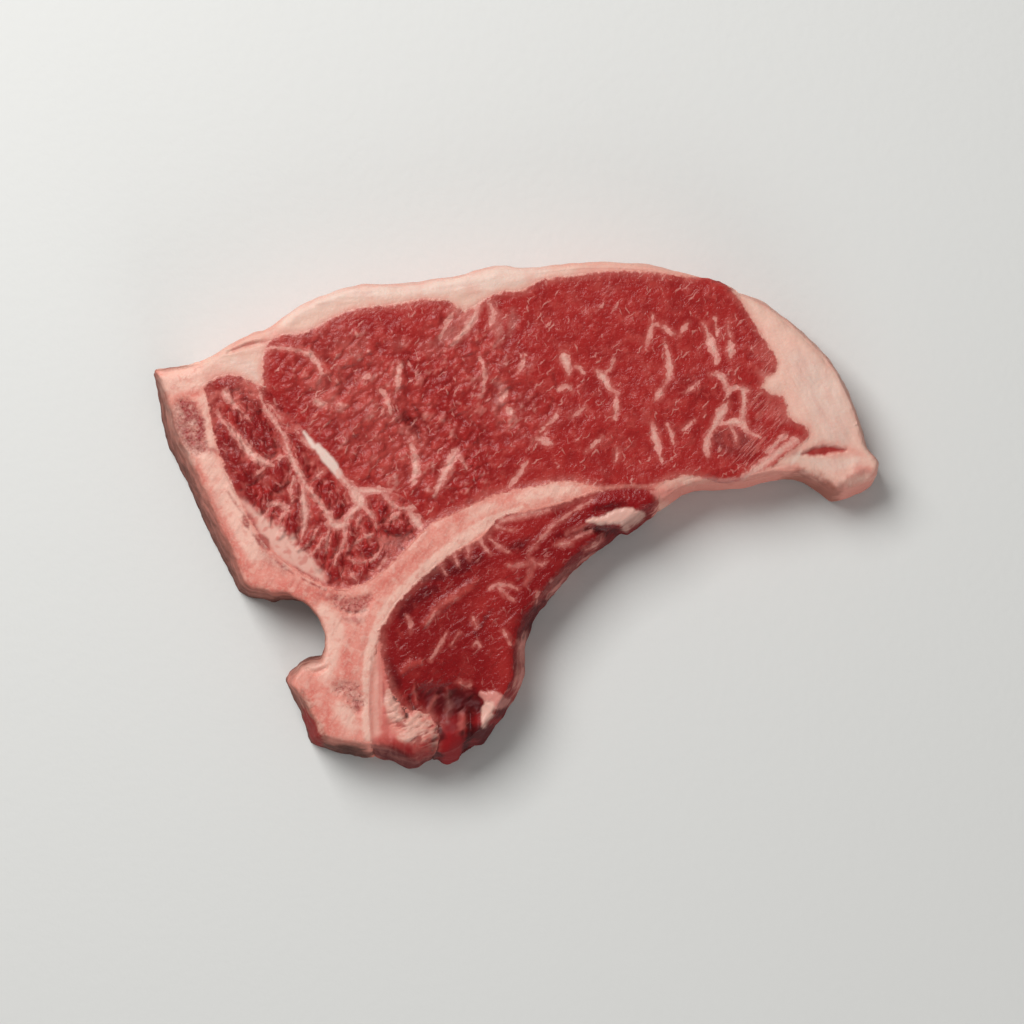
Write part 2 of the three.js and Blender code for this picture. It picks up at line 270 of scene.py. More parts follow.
STRIP_CLEFTS = [
    ((0.3, 1.2, 0.3), [(403, 360), (406, 369), (408, 378)]),
    ((0.5, 2.2, 2.4, 1.0), [(398, 421), (408, 420), (415, 428), (420, 442)]),
    ((0.3, 1.0, 0.3), [(412, 404), (421, 416), (430, 432)]),
    ((0.2, 0.6, 0.2), [(466, 414), (476, 426), (489, 433)]),
    ((0.2, 0.6, 0.2), [(554, 374), (556, 384), (558, 391)]),
    ((0.2, 0.6, 0.2), [(553, 398), (552, 406), (548, 414)]),
]
STRIP_COATS = [
    ("lean_light", 0.7, 6.0, [((16, 26, 22), [(320, 345), (360, 395), (400, 450)])]),
    ("lean_light", 0.35, 6.0, [((12, 16, 12), [(450, 330), (490, 370), (520, 420)])]),
    (
        "film_and_shade",
        0.4,
        1.6,
        [
            ((3, 6, 3), [(312, 384), (326, 386), (340, 380)]),
            ((2, 4, 2), [(345, 345), (356, 350), (366, 340)]),
            ((2, 5, 2), [(318, 398), (326, 402), (336, 396)]),
            ((2, 4, 2), [(372, 404), (380, 412), (388, 418)]),
            ((1, 4, 1), [(388, 340), (396, 346), (404, 338)]),
            ((2, 4, 2), [(500, 384), (498, 400), (500, 424)]),
            ((2, 5, 3), [(420, 345), (432, 350), (444, 342)]),
            ((2, 4, 2), [(404, 428), (412, 436), (424, 440)]),
            ((2, 4, 3), [(752, 350), (762, 352), (770, 362)]),
            ((2, 5, 3), [(770, 404), (778, 412), (784, 420)]),
        ],
    ),
    (
        "lean_dark_and_shade",
        0.55,
        2.2,
        [
            ((2, 5, 3), [(586, 380), (590, 386), (598, 390)]),
            ((2, 4, 2), [(538, 394), (530, 402), (524, 408)]),
            ((3, 6, 3), [(676, 390), (686, 386), (700, 392)]),
            ((3, 5, 3), [(733, 396), (736, 404), (735, 412)]),
            ((2, 5, 3), [(320, 338), (330, 344), (322, 350)]),
            ((3, 5, 3), [(396, 404), (408, 418), (420, 434)]),
        ],
    ),
    (
        "vein",
        0.5,
        1.4,
        [
            ((2, 4.5, 3.5, 1), [(460, 300), (456, 318), (448, 334), (438, 344)]),
            ((3, 3.4, 2.4, 1), [(478, 302), (470, 318), (462, 332), (452, 344)]),
            ((2, 3, 3, 1), [(492, 304), (496, 318), (500, 332), (498, 344)]),
            ((1, 3, 1), [(512, 310), (514, 322), (508, 334)]),
            ((1, 2.4, 1), [(494, 382), (503, 388), (500, 398)]),
            ((1, 3, 1.5), [(760, 372), (772, 382), (780, 392)]),
        ],
    ),
    ("stale_and_shade", 0.35, 1.6, [((3, 7, 7, 3), [(714, 436), (728, 440), (744, 440), (752, 446)])]),
    ("tender_dark_and_shade", 0.4, 1.6, [((3, 6, 6, 3), [(714, 436), (726, 442), (740, 442), (750, 450)])]),
    ("lean_dark_and_shade", 0.5, 1.6, [((3, 6, 5), [(716, 446), (734, 450), (748, 456)])]),
    ("lean_dark_and_shade", 0.3, 2.0, [((3, 3, 3), [(590, 283), (650, 279), (700, 290)])]),
    # Painted shade in the clefts.
    ("tender_dark_and_shade", 0.6, 0.7, STRIP_CLEFTS),
    ("tendon", 0.95, 0.4, TENDON),
    ("fat_pink", 0.8, 0.5, PROCESS_LINE),
    (
        "vein",
        0.85,
        0.7,
        [((1.4, 2.6, 2.8, 2.6, 1.4), [(674, 484), (694, 482), (716, 484), (738, 483), (756, 476)])],
    ),
    ("fat_pink", 0.75, 0.7, [((2.6, 2.8, 2.2, 1.4), [(746, 479), (764, 465), (778, 453), (797, 440)])]),
]
STRIP_CLUMPS = [
    ((14, 34, 40, 30), [(310, 350), (350, 395), (400, 420), (440, 455)]),
    ((12, 16, 10), [(450, 330), (490, 370), (520, 420)]),
]
STRIP_FIBRES = [
    ((5, 9, 10, 8), [(756, 400), (772, 420), (770, 440), (744, 466)]),
    ((3, 6, 4), [(755, 345), (764, 356), (768, 366)]),
]

SPINAL_VEINS = [
    (
        (0.6, 1.1, 1.7, 2.3, 2.8, 2.5, 1.2),
        [(216, 409), (221, 419), (231, 429), (240, 439), (247, 450), (257, 459), (272, 465)],
    ),
    ((2.6, 2.0, 0.8, 0.4), [(225, 393), (229, 399), (240, 410), (250, 420)]),
    ((1.0, 1.4, 1.6, 1.4), [(258, 388), (263, 405), (272, 418), (285, 438)]),
    ((0.3, 0.8, 0.5), [(262, 400), (272, 408), (282, 421)]),
    ((1.4, 2.0, 2.3, 2.0), [(285, 440), (290, 456), (297, 469), (304, 483)]),
    ((0.6, 1.2, 0.5), [(271, 462), (280, 457), (288, 454)]),
    ((2.0, 1.5, 1.8, 2.2), [(306, 486), (314, 496), (323, 507), (332, 522)]),
    ((2.0, 3.0, 2.6), [(330, 523), (337, 526), (344, 524)]),
    ((2.2, 1.8, 2.6), [(344, 522), (352, 512), (360, 504)]),
    ((3.0, 4.5, 2.6), [(353, 492), (360, 499), (361, 505)]),
    ((1.2, 1.2, 1.0, 0.4), [(362, 506), (370, 513), (375, 521), (377, 527)]),
    ((1.4, 1.2, 0.8, 1.2, 0.4), [(343, 526), (345, 537), (341, 548), (336, 556), (335, 564)]),
    ((0.6, 1.0, 0.5), [(330, 527), (327, 540), (326, 552)]),
    ((1.0, 2.4, 2.6, 1.6, 0.5), [(303, 486), (303, 500), (305, 512), (304, 526), (301, 540)]),
    ((0.6, 1.4, 0.6), [(294, 477), (290, 488), (292, 502)]),
    ((0.5, 1.7, 1.7, 0.4), [(268, 506), (277, 503), (285, 507), (290, 512)]),
    ((0.4, 1.0, 0.6), [(288, 508), (282, 517), (279, 526)]),
    ((0.4, 0.9, 0.4), [(269, 508), (265, 515), (262, 522)]),
    ((0.2, 0.6, 0.2), [(318, 528), (312, 540), (303, 549)]),
    ((0.2, 0.8, 0.3), [(323, 534), (319, 547), (309, 556)]),
    ((0.8, 1.8, 0.8), [(404, 509), (412, 507), (420, 505)]),
    ((1.0, 3.4, 2.2), [(410, 513), (416, 521), (420, 528)]),
    ((0.5, 1.6, 0.6), [(388, 522), (394, 517), (400, 512)]),
    ((0.3, 1.0, 0.4), [(383, 547), (377, 556), (369, 562)]),
    ((0.4, 1.1, 0.4), [(388, 556), (384, 562), (379, 569)]),
    ((0.3, 0.9, 0.4), [(349, 570), (352, 576), (357, 580)]),
    ((0.3, 0.9, 0.4), [(349, 559), (358, 563), (367, 561)]),
    ((0.4, 1.2, 0.5), [(362, 531), (366, 537), (373, 534)]),
    ((0.3, 0.8, 0.3), [(354, 545), (358, 540), (365, 537)]),
    ((0.3, 1.0, 0.4), [(356, 528), (359, 520), (362, 512)]),
    ((0.4, 1.2, 0.5), [(255, 476), (261, 472), (264, 468)]),
    ((0.3, 0.8, 0.3), [(310, 482), (316, 477), (322, 472)]),
    *TENDON_END,
]
SPINAL_BUNDLES = [
    ((3, 7, 5), [(255, 463), (248, 474), (240, 483)]),
    ((3, 6.5, 4), [(284, 460), (282, 473), (277, 486)]),
    ((2, 3.4, 2), [(297, 444), (302, 458), (306, 474)]),
    ((1, 2.6, 2), [(296, 480), (297, 489), (296, 499)]),
    ((1.5, 4.2, 3), [(299, 504), (296, 519), (292, 534)]),
    ((0.8, 2, 1), [(289, 513), (286, 523), (285, 531)]),
    ((1.6, 4.4, 2.5), [(270, 492), (263, 502), (259, 511)]),
    ((1.5, 4, 2), [(244, 486), (250, 492), (254, 502)]),
    ((0.6, 1.7, 0.8), [(273, 509), (271, 516), (269, 525)]),
    ((0.8, 2.4, 1), [(287, 527), (283, 533), (279, 539)]),
    ((0.8, 2.2, 0.8), [(313, 531), (307, 543), (298, 550)]),
    ((1.5, 4.6, 3), [(325, 537), (319, 552), (318, 567)]),
    ((1.2, 3, 1.6), [(334, 531), (335, 545), (332, 556)]),
    ((2, 5, 3), [(340, 556), (335, 569), (331, 579)]),
    ((2, 3.6, 2), [(344, 576), (353, 581), (364, 574)]),
    ((3, 6.4, 3), [(326, 490), (334, 502), (336, 515)]),
    ((1.4, 3, 1.6), [(350, 524), (351, 538), (347, 552)]),
    ((1.4, 3.4, 1.6), [(356, 548), (366, 553), (374, 547)]),
    ((1, 2.4, 1), [(367, 516), (369, 524), (368, 533)]),
    ((1.4, 3, 3.4, 2), [(380, 524), (388, 530), (400, 532), (412, 529)]),
    ((1.6, 3.4, 1.6), [(384, 506), (383, 514), (380, 522)]),
    ((1.4, 3.2, 1.4), [(401, 516), (405, 522), (404, 530)]),
    ((1, 2.6, 1), [(367, 566), (364, 574), (360, 580)]),
    ((0.8, 2, 0.8), [(384, 552), (380, 560), (374, 567)]),
    ((2, 4.4, 2), [(318, 482), (316, 490), (318, 500)]),
    ((3, 8, 6), [(222, 425), (228, 445), (236, 462)]),
    ((4, 9, 5), [(236, 412), (254, 430), (268, 450)]),
    ((2, 5, 3), [(242, 398), (250, 403), (256, 410)]),
    ((2, 4, 2), [(222, 384), (229, 385), (236, 386)]),
]
SPINAL_COATS = [
    ("film_and_shade", 0.5, 1.6, [((5, 8, 5), [(232, 388), (242, 392), (252, 400)])]),
    ("film_and_shade", 0.6, 1.2, [((3, 4, 3), [(196, 384), (204, 388), (212, 396)])]),
    ("film_and_shade", 0.45, 1.0, [((2, 5, 3), [(226, 444), (231, 450), (238, 448)])]),
    ("film_and_shade", 0.4, 1.0, [((2, 4, 2), [(268, 448), (276, 450), (284, 446)])]),
    ("vein", 0.5, 1.4, [((2.0, 4.0, 3.4, 2.0), [(381, 539), (388, 544), (396, 542), (407, 536)])]),
    ("film_and_shade", 0.5, 1.0, [((2, 3.4, 2), [(392, 552), (386, 560), (378, 570)])]),
    ("blood_and_shade", 0.6, 0.8, [((0.6, 2.4, 2.8, 1.0), [(380, 525), (388, 530), (399, 532), (410, 530)])]),
    ("blood_and_shade", 0.35, 1.0, [((1, 2.6, 1.4), [(300, 507), (299, 519), (297, 531)])]),
    (
        "blood_and_shade",
        0.35,
        1.2,
        [
            ((1, 3, 2), [(253, 470), (250, 478), (244, 482)]),
            ((1, 3, 2), [(289, 474), (284, 482), (278, 486)]),
        ],
    ),
    ("tendon", 0.95, 0.4, TENDON),
    ("tendon", 0.6, 0.8, [((1, 1.6, 1), [(303, 499), (306, 507), (306, 513)])]),
    ("vein", 0.7, 1.8, WEDGE[:1]),
    ("vein_pale", 0.9, 1.2, WEDGE),
    ("lean_dark_and_shade", 0.85, 0.4, RED_SPOTS),
]

TENDERLOIN_VEINS = [
    ((0.4, 1.2, 0.9, 0.4), [(490, 588), (500, 584), (508, 585), (517, 589)]),
    ((0.9, 0.8, 0.3), [(498, 587), (505, 594), (513, 600)]),
    ((0.5, 1.1, 0.4), [(490, 539), (500, 547), (508, 552)]),
    ((0.6, 1.0, 0.8), [(508, 565), (516, 566), (526, 564)]),
    ((0.4, 0.9, 0.8, 0.4), [(530, 551), (543, 536), (556, 523), (573, 511), (592, 500)]),
    ((0.6, 1.4, 1.2), [(555, 545), (562, 544), (570, 543)]),
    ((0.8, 1.4, 0.8), [(586, 549), (593, 546), (602, 539)]),
    ((0.3, 0.8, 0.3), [(570, 541), (580, 536), (591, 531)]),
    ((1.4, 1.0, 0.3), [(467, 541), (468, 548), (469, 557)]),
    ((1.6, 1.0, 0.3), [(478, 535), (483, 545), (490, 554)]),
    ((1.4, 1.0, 0.3), [(453, 545), (455, 556), (458, 566)]),
    ((1.4, 0.9, 0.2), [(436, 558), (441, 566), (446, 574)]),
    ((1.0, 0.7, 0.2), [(497, 526), (506, 530), (514, 530)]),
    ((1.0, 1.4, 1.0), [(500, 522), (515, 517), (530, 513), (548, 510)]),
    ((0.3, 0.7, 0.2), [(473, 618), (477, 627)]),
    ((0.2, 0.6, 0.3), [(447, 633), (442, 641), (437, 650)]),
    ((0.2, 0.6, 0.3), [(426, 626), (431, 618), (436, 612)]),
    ((0.3, 0.5, 0.3), [(538, 592), (536, 603)]),
    ((0.2, 0.5, 0.2), [(430, 660), (434, 655), (437, 651)]),
    ((0.2, 0.4, 0.2), [(451, 645), (456, 638), (459, 633)]),
    ((0.3, 0.8, 0.3), [(503, 630), (508, 638), (511, 645)]),
    ((0.5, 1.1, 0.5), [(459, 683), (466, 688), (470, 684)]),
    ((0.3, 0.8, 0.3), [(473, 645), (477, 642), (480, 646)]),
    ((0.3, 0.8, 0.3), [(533, 561), (541, 565), (546, 562)]),
    ((0.3, 0.8, 0.3), [(406, 616), (412, 624), (410, 632)]),
]
TENDERLOIN_CHUNKS = [
    ((1.6, 4.0, 4.4, 1.6), [(482, 694), (492, 699), (501, 704), (508, 703)]),
    ((3.4, 3.2, 2.4, 1.0), [(489, 707), (486, 715), (484, 722), (483, 727)]),
    (
        (0.8, 2.2, 3.0, 4.8, 5.0, 3.0),
        [(587, 521), (600, 521), (611, 518), (622, 516), (632, 517), (641, 517)],
    ),
    ((3.0, 1.6), [(627, 521), (626, 530)]),
]
TENDERLOIN_CLEFTS = [
    ((1.4, 2.6, 3.0), [(437, 728), (434, 746), (430, 766)]),
    ((1.0, 2.4, 2.6), [(470, 714), (471, 735), (467, 760)]),
    ((0.4, 1.0, 0.4), [(410, 700), (414, 712), (418, 722)]),
    ((0.6, 2.4, 3.0, 1.2), [(588, 530), (602, 530), (613, 533), (622, 536)]),
]
TENDERLOIN_POCKET = [((3, 7, 9, 8, 4), [(421, 694), (436, 702), (452, 704), (466, 703), (479, 707)])]
TENDERLOIN_STRANDS = [
    ((0.5, 1.3, 1.0), [(414, 684), (415, 694), (416, 704)]),
    ((0.6, 1.5, 0.8), [(436, 697), (431, 706), (427, 716)]),
    ((0.8, 2.0, 1.6), [(447, 690), (449, 706), (446, 722)]),
]
TENDERLOIN_LOBES = [
    ((5, 8, 8, 5), [(455, 728), (451, 742), (448, 755), (445, 764)]),
    ((4, 7, 6, 3), [(478, 730), (485, 737), (487, 746), (483, 753)]),
]
TENDERLOIN_RIDGES = [
    ((1.2, 2.8, 2.8, 1.4), [(424, 624), (438, 606), (456, 596), (476, 580)]),
    ((1.0, 2.4, 1.4), [(402, 672), (410, 664), (420, 662)]),
    ((2.0, 5.0, 5.0, 3.0), [(596, 503), (615, 496), (640, 496), (658, 500)]),
]
TENDERLOIN_COATS = [
    (
        "lean",
        0.6,
        4.0,
        [
            ((6, 9, 9), [(510, 560), (500, 585), (485, 610)]),
            ((5, 9, 6), [(500, 630), (508, 660), (500, 688)]),
        ],
    ),
    ("lean", 0.6, 2.0, [((4, 7, 5), [(500, 535), (520, 530), (545, 522)])]),
    # Painted shade below the bone's process and in folds.
    (
        "tender_dark_and_shade",
        0.7,
        1.2,
        [
            ((2, 5, 5, 3), [(400, 618), (408, 602), (420, 594), (434, 590)]),
            ((2, 5.5, 5, 2), [(424, 580), (440, 572), (458, 566), (478, 558)]),
            ((0.8, 2.2, 2.2, 0.8), [(556, 536), (575, 534), (592, 528), (606, 526)]),
            ((0.6, 1.4, 0.6), [(476, 634), (483, 622), (492, 610)]),
            ((1.5, 3.6, 3), [(388, 660), (392, 672), (396, 684)]),
            ((1, 3, 1), [(510, 548), (520, 546), (528, 540)]),
        ],
    ),
    ("lean_light", 0.65, 0.9, TENDERLOIN_RIDGES[:2]),
    ("film_and_shade", 0.5, 0.7, [((0.5, 1.6, 0.6), [(432, 610), (444, 602), (456, 597)])]),
    ("crimson", 0.7, 1.6, [((4, 9, 9, 6), [(590, 504), (612, 498), (638, 498), (660, 502)])]),
    ("blood_and_shade", 0.55, 1.2, [((0.8, 3, 3, 1), [(594, 510), (606, 508), (616, 506), (624, 502)])]),
    (
        "film_and_shade",
        0.45,
        0.8,
        [
            ((1, 2, 2, 1), [(527, 555), (533, 563), (530, 575), (524, 585)]),
            ((1, 1.6, 1), [(566, 534), (580, 528), (594, 522)]),
            ((2, 4, 3), [(500, 518), (520, 514), (545, 508)]),
        ],
    ),
    # Crimson lobes, darkened by painted shade, the far one most.
    ("crimson", 0.9, 1.2, TENDERLOIN_LOBES),
    ("tender_dark_and_shade", 0.4, 1.2, TENDERLOIN_LOBES[:1]),
    ("blood_and_shade", 0.85, 1.2, TENDERLOIN_LOBES[1:]),
    # Painted shade in the hollow of the pocket.
    ("tender_dark_and_shade", 0.75, 2.2, TENDERLOIN_POCKET),
    ("blood_and_shade", 0.6, 2.2, [((2, 6, 7, 3), [(446, 704), (460, 702), (472, 704), (481, 709)])]),
    ("film_and_shade", 0.45, 0.7, TENDERLOIN_STRANDS[:2]),
    ("stale_and_shade", 0.35, 0.9, TENDERLOIN_STRANDS[2:]),
    ("film_and_shade", 0.55, 0.9, [((1.2, 3, 1.5), [(462, 716), (463, 725), (459, 734)])]),
    # Painted shade in the clefts and beside the chunk.
    ("blood_and_shade", 0.9, 0.8, TENDERLOIN_CLEFTS),
    ("blood_and_shade", 0.7, 0.8, [((1, 3, 3, 1.5), [(493, 717), (499, 714), (505, 708), (509, 700)])]),
    ("blood_and_shade", 0.85, 0.7, [((1.2, 2.2, 2.4, 1.2), [(522, 640), (528, 622), (536, 608), (548, 596)])]),
    (
        "film_and_shade",
        0.7,
        0.7,
        [((1.2, 2.8, 2.8, 2.0, 1.2), [(518, 642), (523, 656), (522, 672), (518, 690), (510, 708)])],
    ),
    ("fat_pink", 0.8, 0.4, [((0.6, 1.4, 1.4, 0.6), [(516, 640), (519, 655), (518, 672), (513, 688)])]),
    ("stale_and_shade", 0.7, 0.8, [((1.6, 3.4, 3.0, 1.2), [(546, 592), (560, 580), (576, 568), (590, 556)])]),
    ("fat_pink", 0.8, 0.5, PROCESS_LINE),
    # Painted shade in the fold beside the suet.
    ("blood_and_shade", 0.9, 0.8, SUET_FOLD),
    ("vein", 0.9, 0.5, TENDERLOIN_CHUNKS[:1]),
    ("vein_pale", 0.9, 0.5, TENDERLOIN_CHUNKS[1:]),
]

TENDERLOIN_SIDE_COATS = [
    ("vein", 0.85, 0.9, [((3, 5, 5, 3), [(666, 490), (672, 499), (670, 509), (658, 520)])]),
    ("vein", 0.7, 0.9, [((2, 4.4, 4.6, 2), [(524, 640), (528, 660), (526, 682), (516, 708)])]),
    ("vein", 0.6, 0.9, [((1.6, 3.6, 3.4, 1.6), [(548, 598), (563, 586), (580, 573), (596, 558)])]),
    ("blood_and_shade", 0.7, 0.8, [((1, 2, 2, 1), [(530, 638), (536, 622), (544, 608), (552, 598)])]),
    ("crimson", 0.7, 1.2, [((6, 9, 9, 5), [(452, 745), (450, 756), (447, 766), (444, 772)])]),
    # Painted shade in the cleft between the lobes and in the fold beside the suet.
    ("blood_and_shade", 0.8, 0.9, [((2, 3, 3), [(471, 735), (470, 752), (466, 768)]), SUET_FOLD[0]]),
]
# The line below which the torn end falls away
TENDERLOIN_BROW = [(425, 736), (436, 734), (455, 731), (480, 728), (500, 716)]

CAP_COATS = [
    # Whiter along the cap's top edge: whiter outer fat, with a painted highlight on the rounded edge.
    (
        "white_fat_and_highlight",
        0.9,
        2.0,
        [
            ((3, 4.5, 4), [(284, 318), (312, 302), (345, 292)]),
            ((4, 5, 5), [(345, 292), (400, 287), (450, 283)]),
            ((4, 7, 3), [(450, 284), (490, 277), (545, 269)]),
        ],
    ),
    (
        "fat_pink",
        0.5,
        2.5,
        [
            ((2, 4, 3), [(198, 372), (215, 378), (240, 378)]),
            ((2, 3, 2), [(236, 346), (256, 340), (276, 334)]),
        ],
    ),
    ("fat_pink", 0.4, 1.2, [((2, 2, 2), [(580, 270), (630, 270), (690, 276)])]),
    ("white_fat_and_highlight", 0.6, 1.5, [((2, 4, 2), [(236, 362), (248, 368), (256, 378)])]),
    ("lean_light", 0.5, 0.6, [((0.3, 0.9, 0.3), [(232, 350), (250, 343), (268, 341)])]),
]
CAP_FOLDS = [((0.4, 1.0, 0.5), [(228, 352), (250, 344), (272, 341)])]
TAIL_FURROW = [((0.4, 2.2, 2.6, 1.6, 0.3), [(803, 454), (811, 452), (821, 451), (832, 449), (847, 450)])]
TAIL_COATS = [
    ("bone_pale", 0.7, 3.0, [((10, 16, 18, 16), [(760, 330), (800, 380), (826, 430), (846, 470)])]),
    ("fat_pink", 0.8, 1.5, [((4, 6, 6, 4), [(650, 494), (700, 491), (750, 485), (795, 470)])]),
    ("film_and_shade", 0.45, 1.5, [((4, 6, 6, 3), [(650, 496), (700, 494), (750, 488), (780, 478)])]),
    ("white_fat_and_highlight", 0.6, 3.0, [((6, 12, 8), [(800, 360), (828, 400), (838, 430)])]),
    # A painted highlight on the lit top facet at the tail's tip.
    ("white_fat_and_highlight", 0.5, 0.8, [((1, 2.6, 3, 2), [(812, 461), (826, 464), (842, 466), (856, 460)])]),
    ("vein", 0.6, 0.8, [((1.0, 2.0, 1.0), [(787, 452), (792, 449), (798, 444)])]),
    # A painted highlight on a small ridge, and below it a painted shadow beside the fold.
    ("white_fat_and_highlight", 0.6, 0.5, [((0.5, 1.2, 0.5), [(792, 464), (797, 458), (801, 451)])]),
    ("stale_and_shade", 0.5, 0.9, [((1.0, 2.2, 1.0), [(788, 456), (793, 452), (798, 447)])]),
    ("fat_pink", 0.6, 1.4, [((2, 4, 3, 1), [(806, 450), (826, 448), (848, 450), (862, 454)])]),
    ("lean", 0.95, 0.6, TAIL_FURROW),
]
# Painted shade on the tail's lower facets, which fall away below its ridge.
TAIL_SHADE = [
    ("film_and_shade", 0.55, 1.6, [((4, 5, 7, 6, 3), [(796, 480), (816, 485), (836, 496), (854, 493), (870, 484)])]),
    ("rind_and_shade", 0.9, 1.6, [((3, 6, 8, 4), [(790, 478), (806, 482), (822, 489), (838, 497)])]),
    ("film_and_shade", 0.6, 1.2, [((1, 3, 2), [(852, 476), (861, 469), (868, 468)])]),
]
# The line below which the tip of the tail falls away
TAIL_RIDGE = [(788, 474), (804, 468), (838, 482), (852, 475), (864, 466), (884, 472)]
SUET_COATS = [
    ("bone_pale", 0.9, 0.8, [((2.6, 2.6, 1.4, 0.6), [(377, 624), (376, 636), (373, 650), (371, 664)])]),
    ("film_and_shade", 0.8, 0.8, [((0.8, 1.6, 1.0), [(383, 628), (382, 640), (381, 654)])]),
    ("fat_pink", 0.55, 1.0, [((2.4, 3.6, 4.0, 3.4), [(374, 646), (375, 675), (376, 700), (375, 730)])]),
    ("bone_pale", 0.5, 1.2, [((1, 2.4, 2.8, 2.4), [(374, 655), (376, 680), (377, 705), (375, 732)])]),
    ("film_and_shade", 0.6, 0.4, [((0.2, 0.5, 0.5, 0.2), [(378, 655), (380, 680), (379, 705), (380, 728)])]),
    ("lean", 0.7, 0.9, [((1.0, 2.4, 3.4, 1.6), [(386, 650), (388, 668), (392, 682), (398, 690)])]),
    ("lean", 0.75, 1.4, [((3, 7, 9, 8), [(384, 742), (400, 748), (418, 750), (434, 744)])]),
    ("fat_pink", 0.85, 1.2, [((5, 8, 8, 3), [(396, 720), (408, 728), (418, 733), (427, 734)])]),
    (
        "fat",
        0.65,
        0.7,
        [
            ((1.6, 3.4, 3.4, 2.0), [(388, 692), (390, 704), (394, 715), (402, 722)]),
            ((2.0, 2.4, 0.8), [(408, 722), (419, 718), (430, 714)]),
            ((2.4, 2.4, 0.6), [(408, 728), (422, 725), (435, 722)]),
            ((2.0, 2.4, 0.6), [(406, 734), (420, 733), (435, 732)]),
            ((1.6, 1.8, 0.6), [(402, 738), (414, 741), (426, 741)]),
            ((0.6, 1.2, 0.4), [(412, 684), (414, 694), (416, 704)]),
        ],
    ),
    ("crimson", 0.8, 1.0, [((1, 3, 2), [(402, 684), (408, 694), (412, 702)])]),
    ("lean_dark_and_shade", 0.5, 0.35, [((0.2, 0.7, 0.3), [(383, 682), (384, 692), (383, 702)])]),
    ("crimson", 0.6, 1.4, [((3, 4, 3), [(388, 746), (408, 752), (426, 746)])]),
    # Painted shade low on the suet's torn end.
    ("tender_dark_and_shade", 0.85, 1.6, [((3, 5, 6, 4), [(368, 748), (384, 754), (398, 764), (424, 764)])]),
    ("blood_and_shade", 0.9, 0.8, SUET_FOLD),
]
SUET_CLEFTS = [((0.5, 1.0, 1.1, 1.4, 0.8), [(394, 690), (393, 699), (403, 701), (405, 709), (407, 718)])]
# Laid over the torn shreds and the side's painted shade. They are painted shade low on the side and in the
# clefts, with a redder stroke between.
SUET_LAST_COATS = [
    ("tender_dark_and_shade", 0.75, 1.4, [((4, 7, 8, 6), [(374, 756), (388, 760), (404, 766), (428, 766)])]),
    ("crimson", 0.6, 1.0, [((2, 4, 3), [(408, 752), (420, 756), (430, 752)])]),
    ("blood_and_shade", 0.85, 0.35, SUET_CLEFTS),
]
# The line below which the suet falls away
SUET_BROW = [(366, 746), (376, 742), (395, 742), (415, 743), (434, 736)]
SUET_TORN = [((5, 9, 10, 8), [(394, 696), (402, 714), (414, 728), (428, 734)])]
SUET_LUMPS = [
    ((5, 8, 7), [(405, 726), (414, 731), (422, 734)]),
    ((2, 5, 3), [(389, 704), (394, 712), (400, 718)]),
]
# How far the ends of the fat are shifted, in mm, to taper or to reach their outline
FAT_SHIFTS = {
    "fat_cap": [([((1, 1), [(702, 275), (712, 279)])], (-0.4, -1.5, -0.4))],
    "tail_fat": [
        ([((1, 1), [(722, 284), (730, 288)])], (-0.4, -0.9, -0.3)),
        ([((1, 1), [(876, 462), (872, 474)])], (1.5, -0.3, 0)),
        ([((1, 1), [(846, 500), (832, 500)])], (0, -0.7, 0)),
    ],
    "suet": [([((1, 1), [(378, 628), (379, 640)])], (0.2, -1.0, -1.6))],
}
# The strip loin's bare edge between the fat cap and the tail
STRIP_EDGE = [((1, 1), [(712, 279), (722, 284)])]

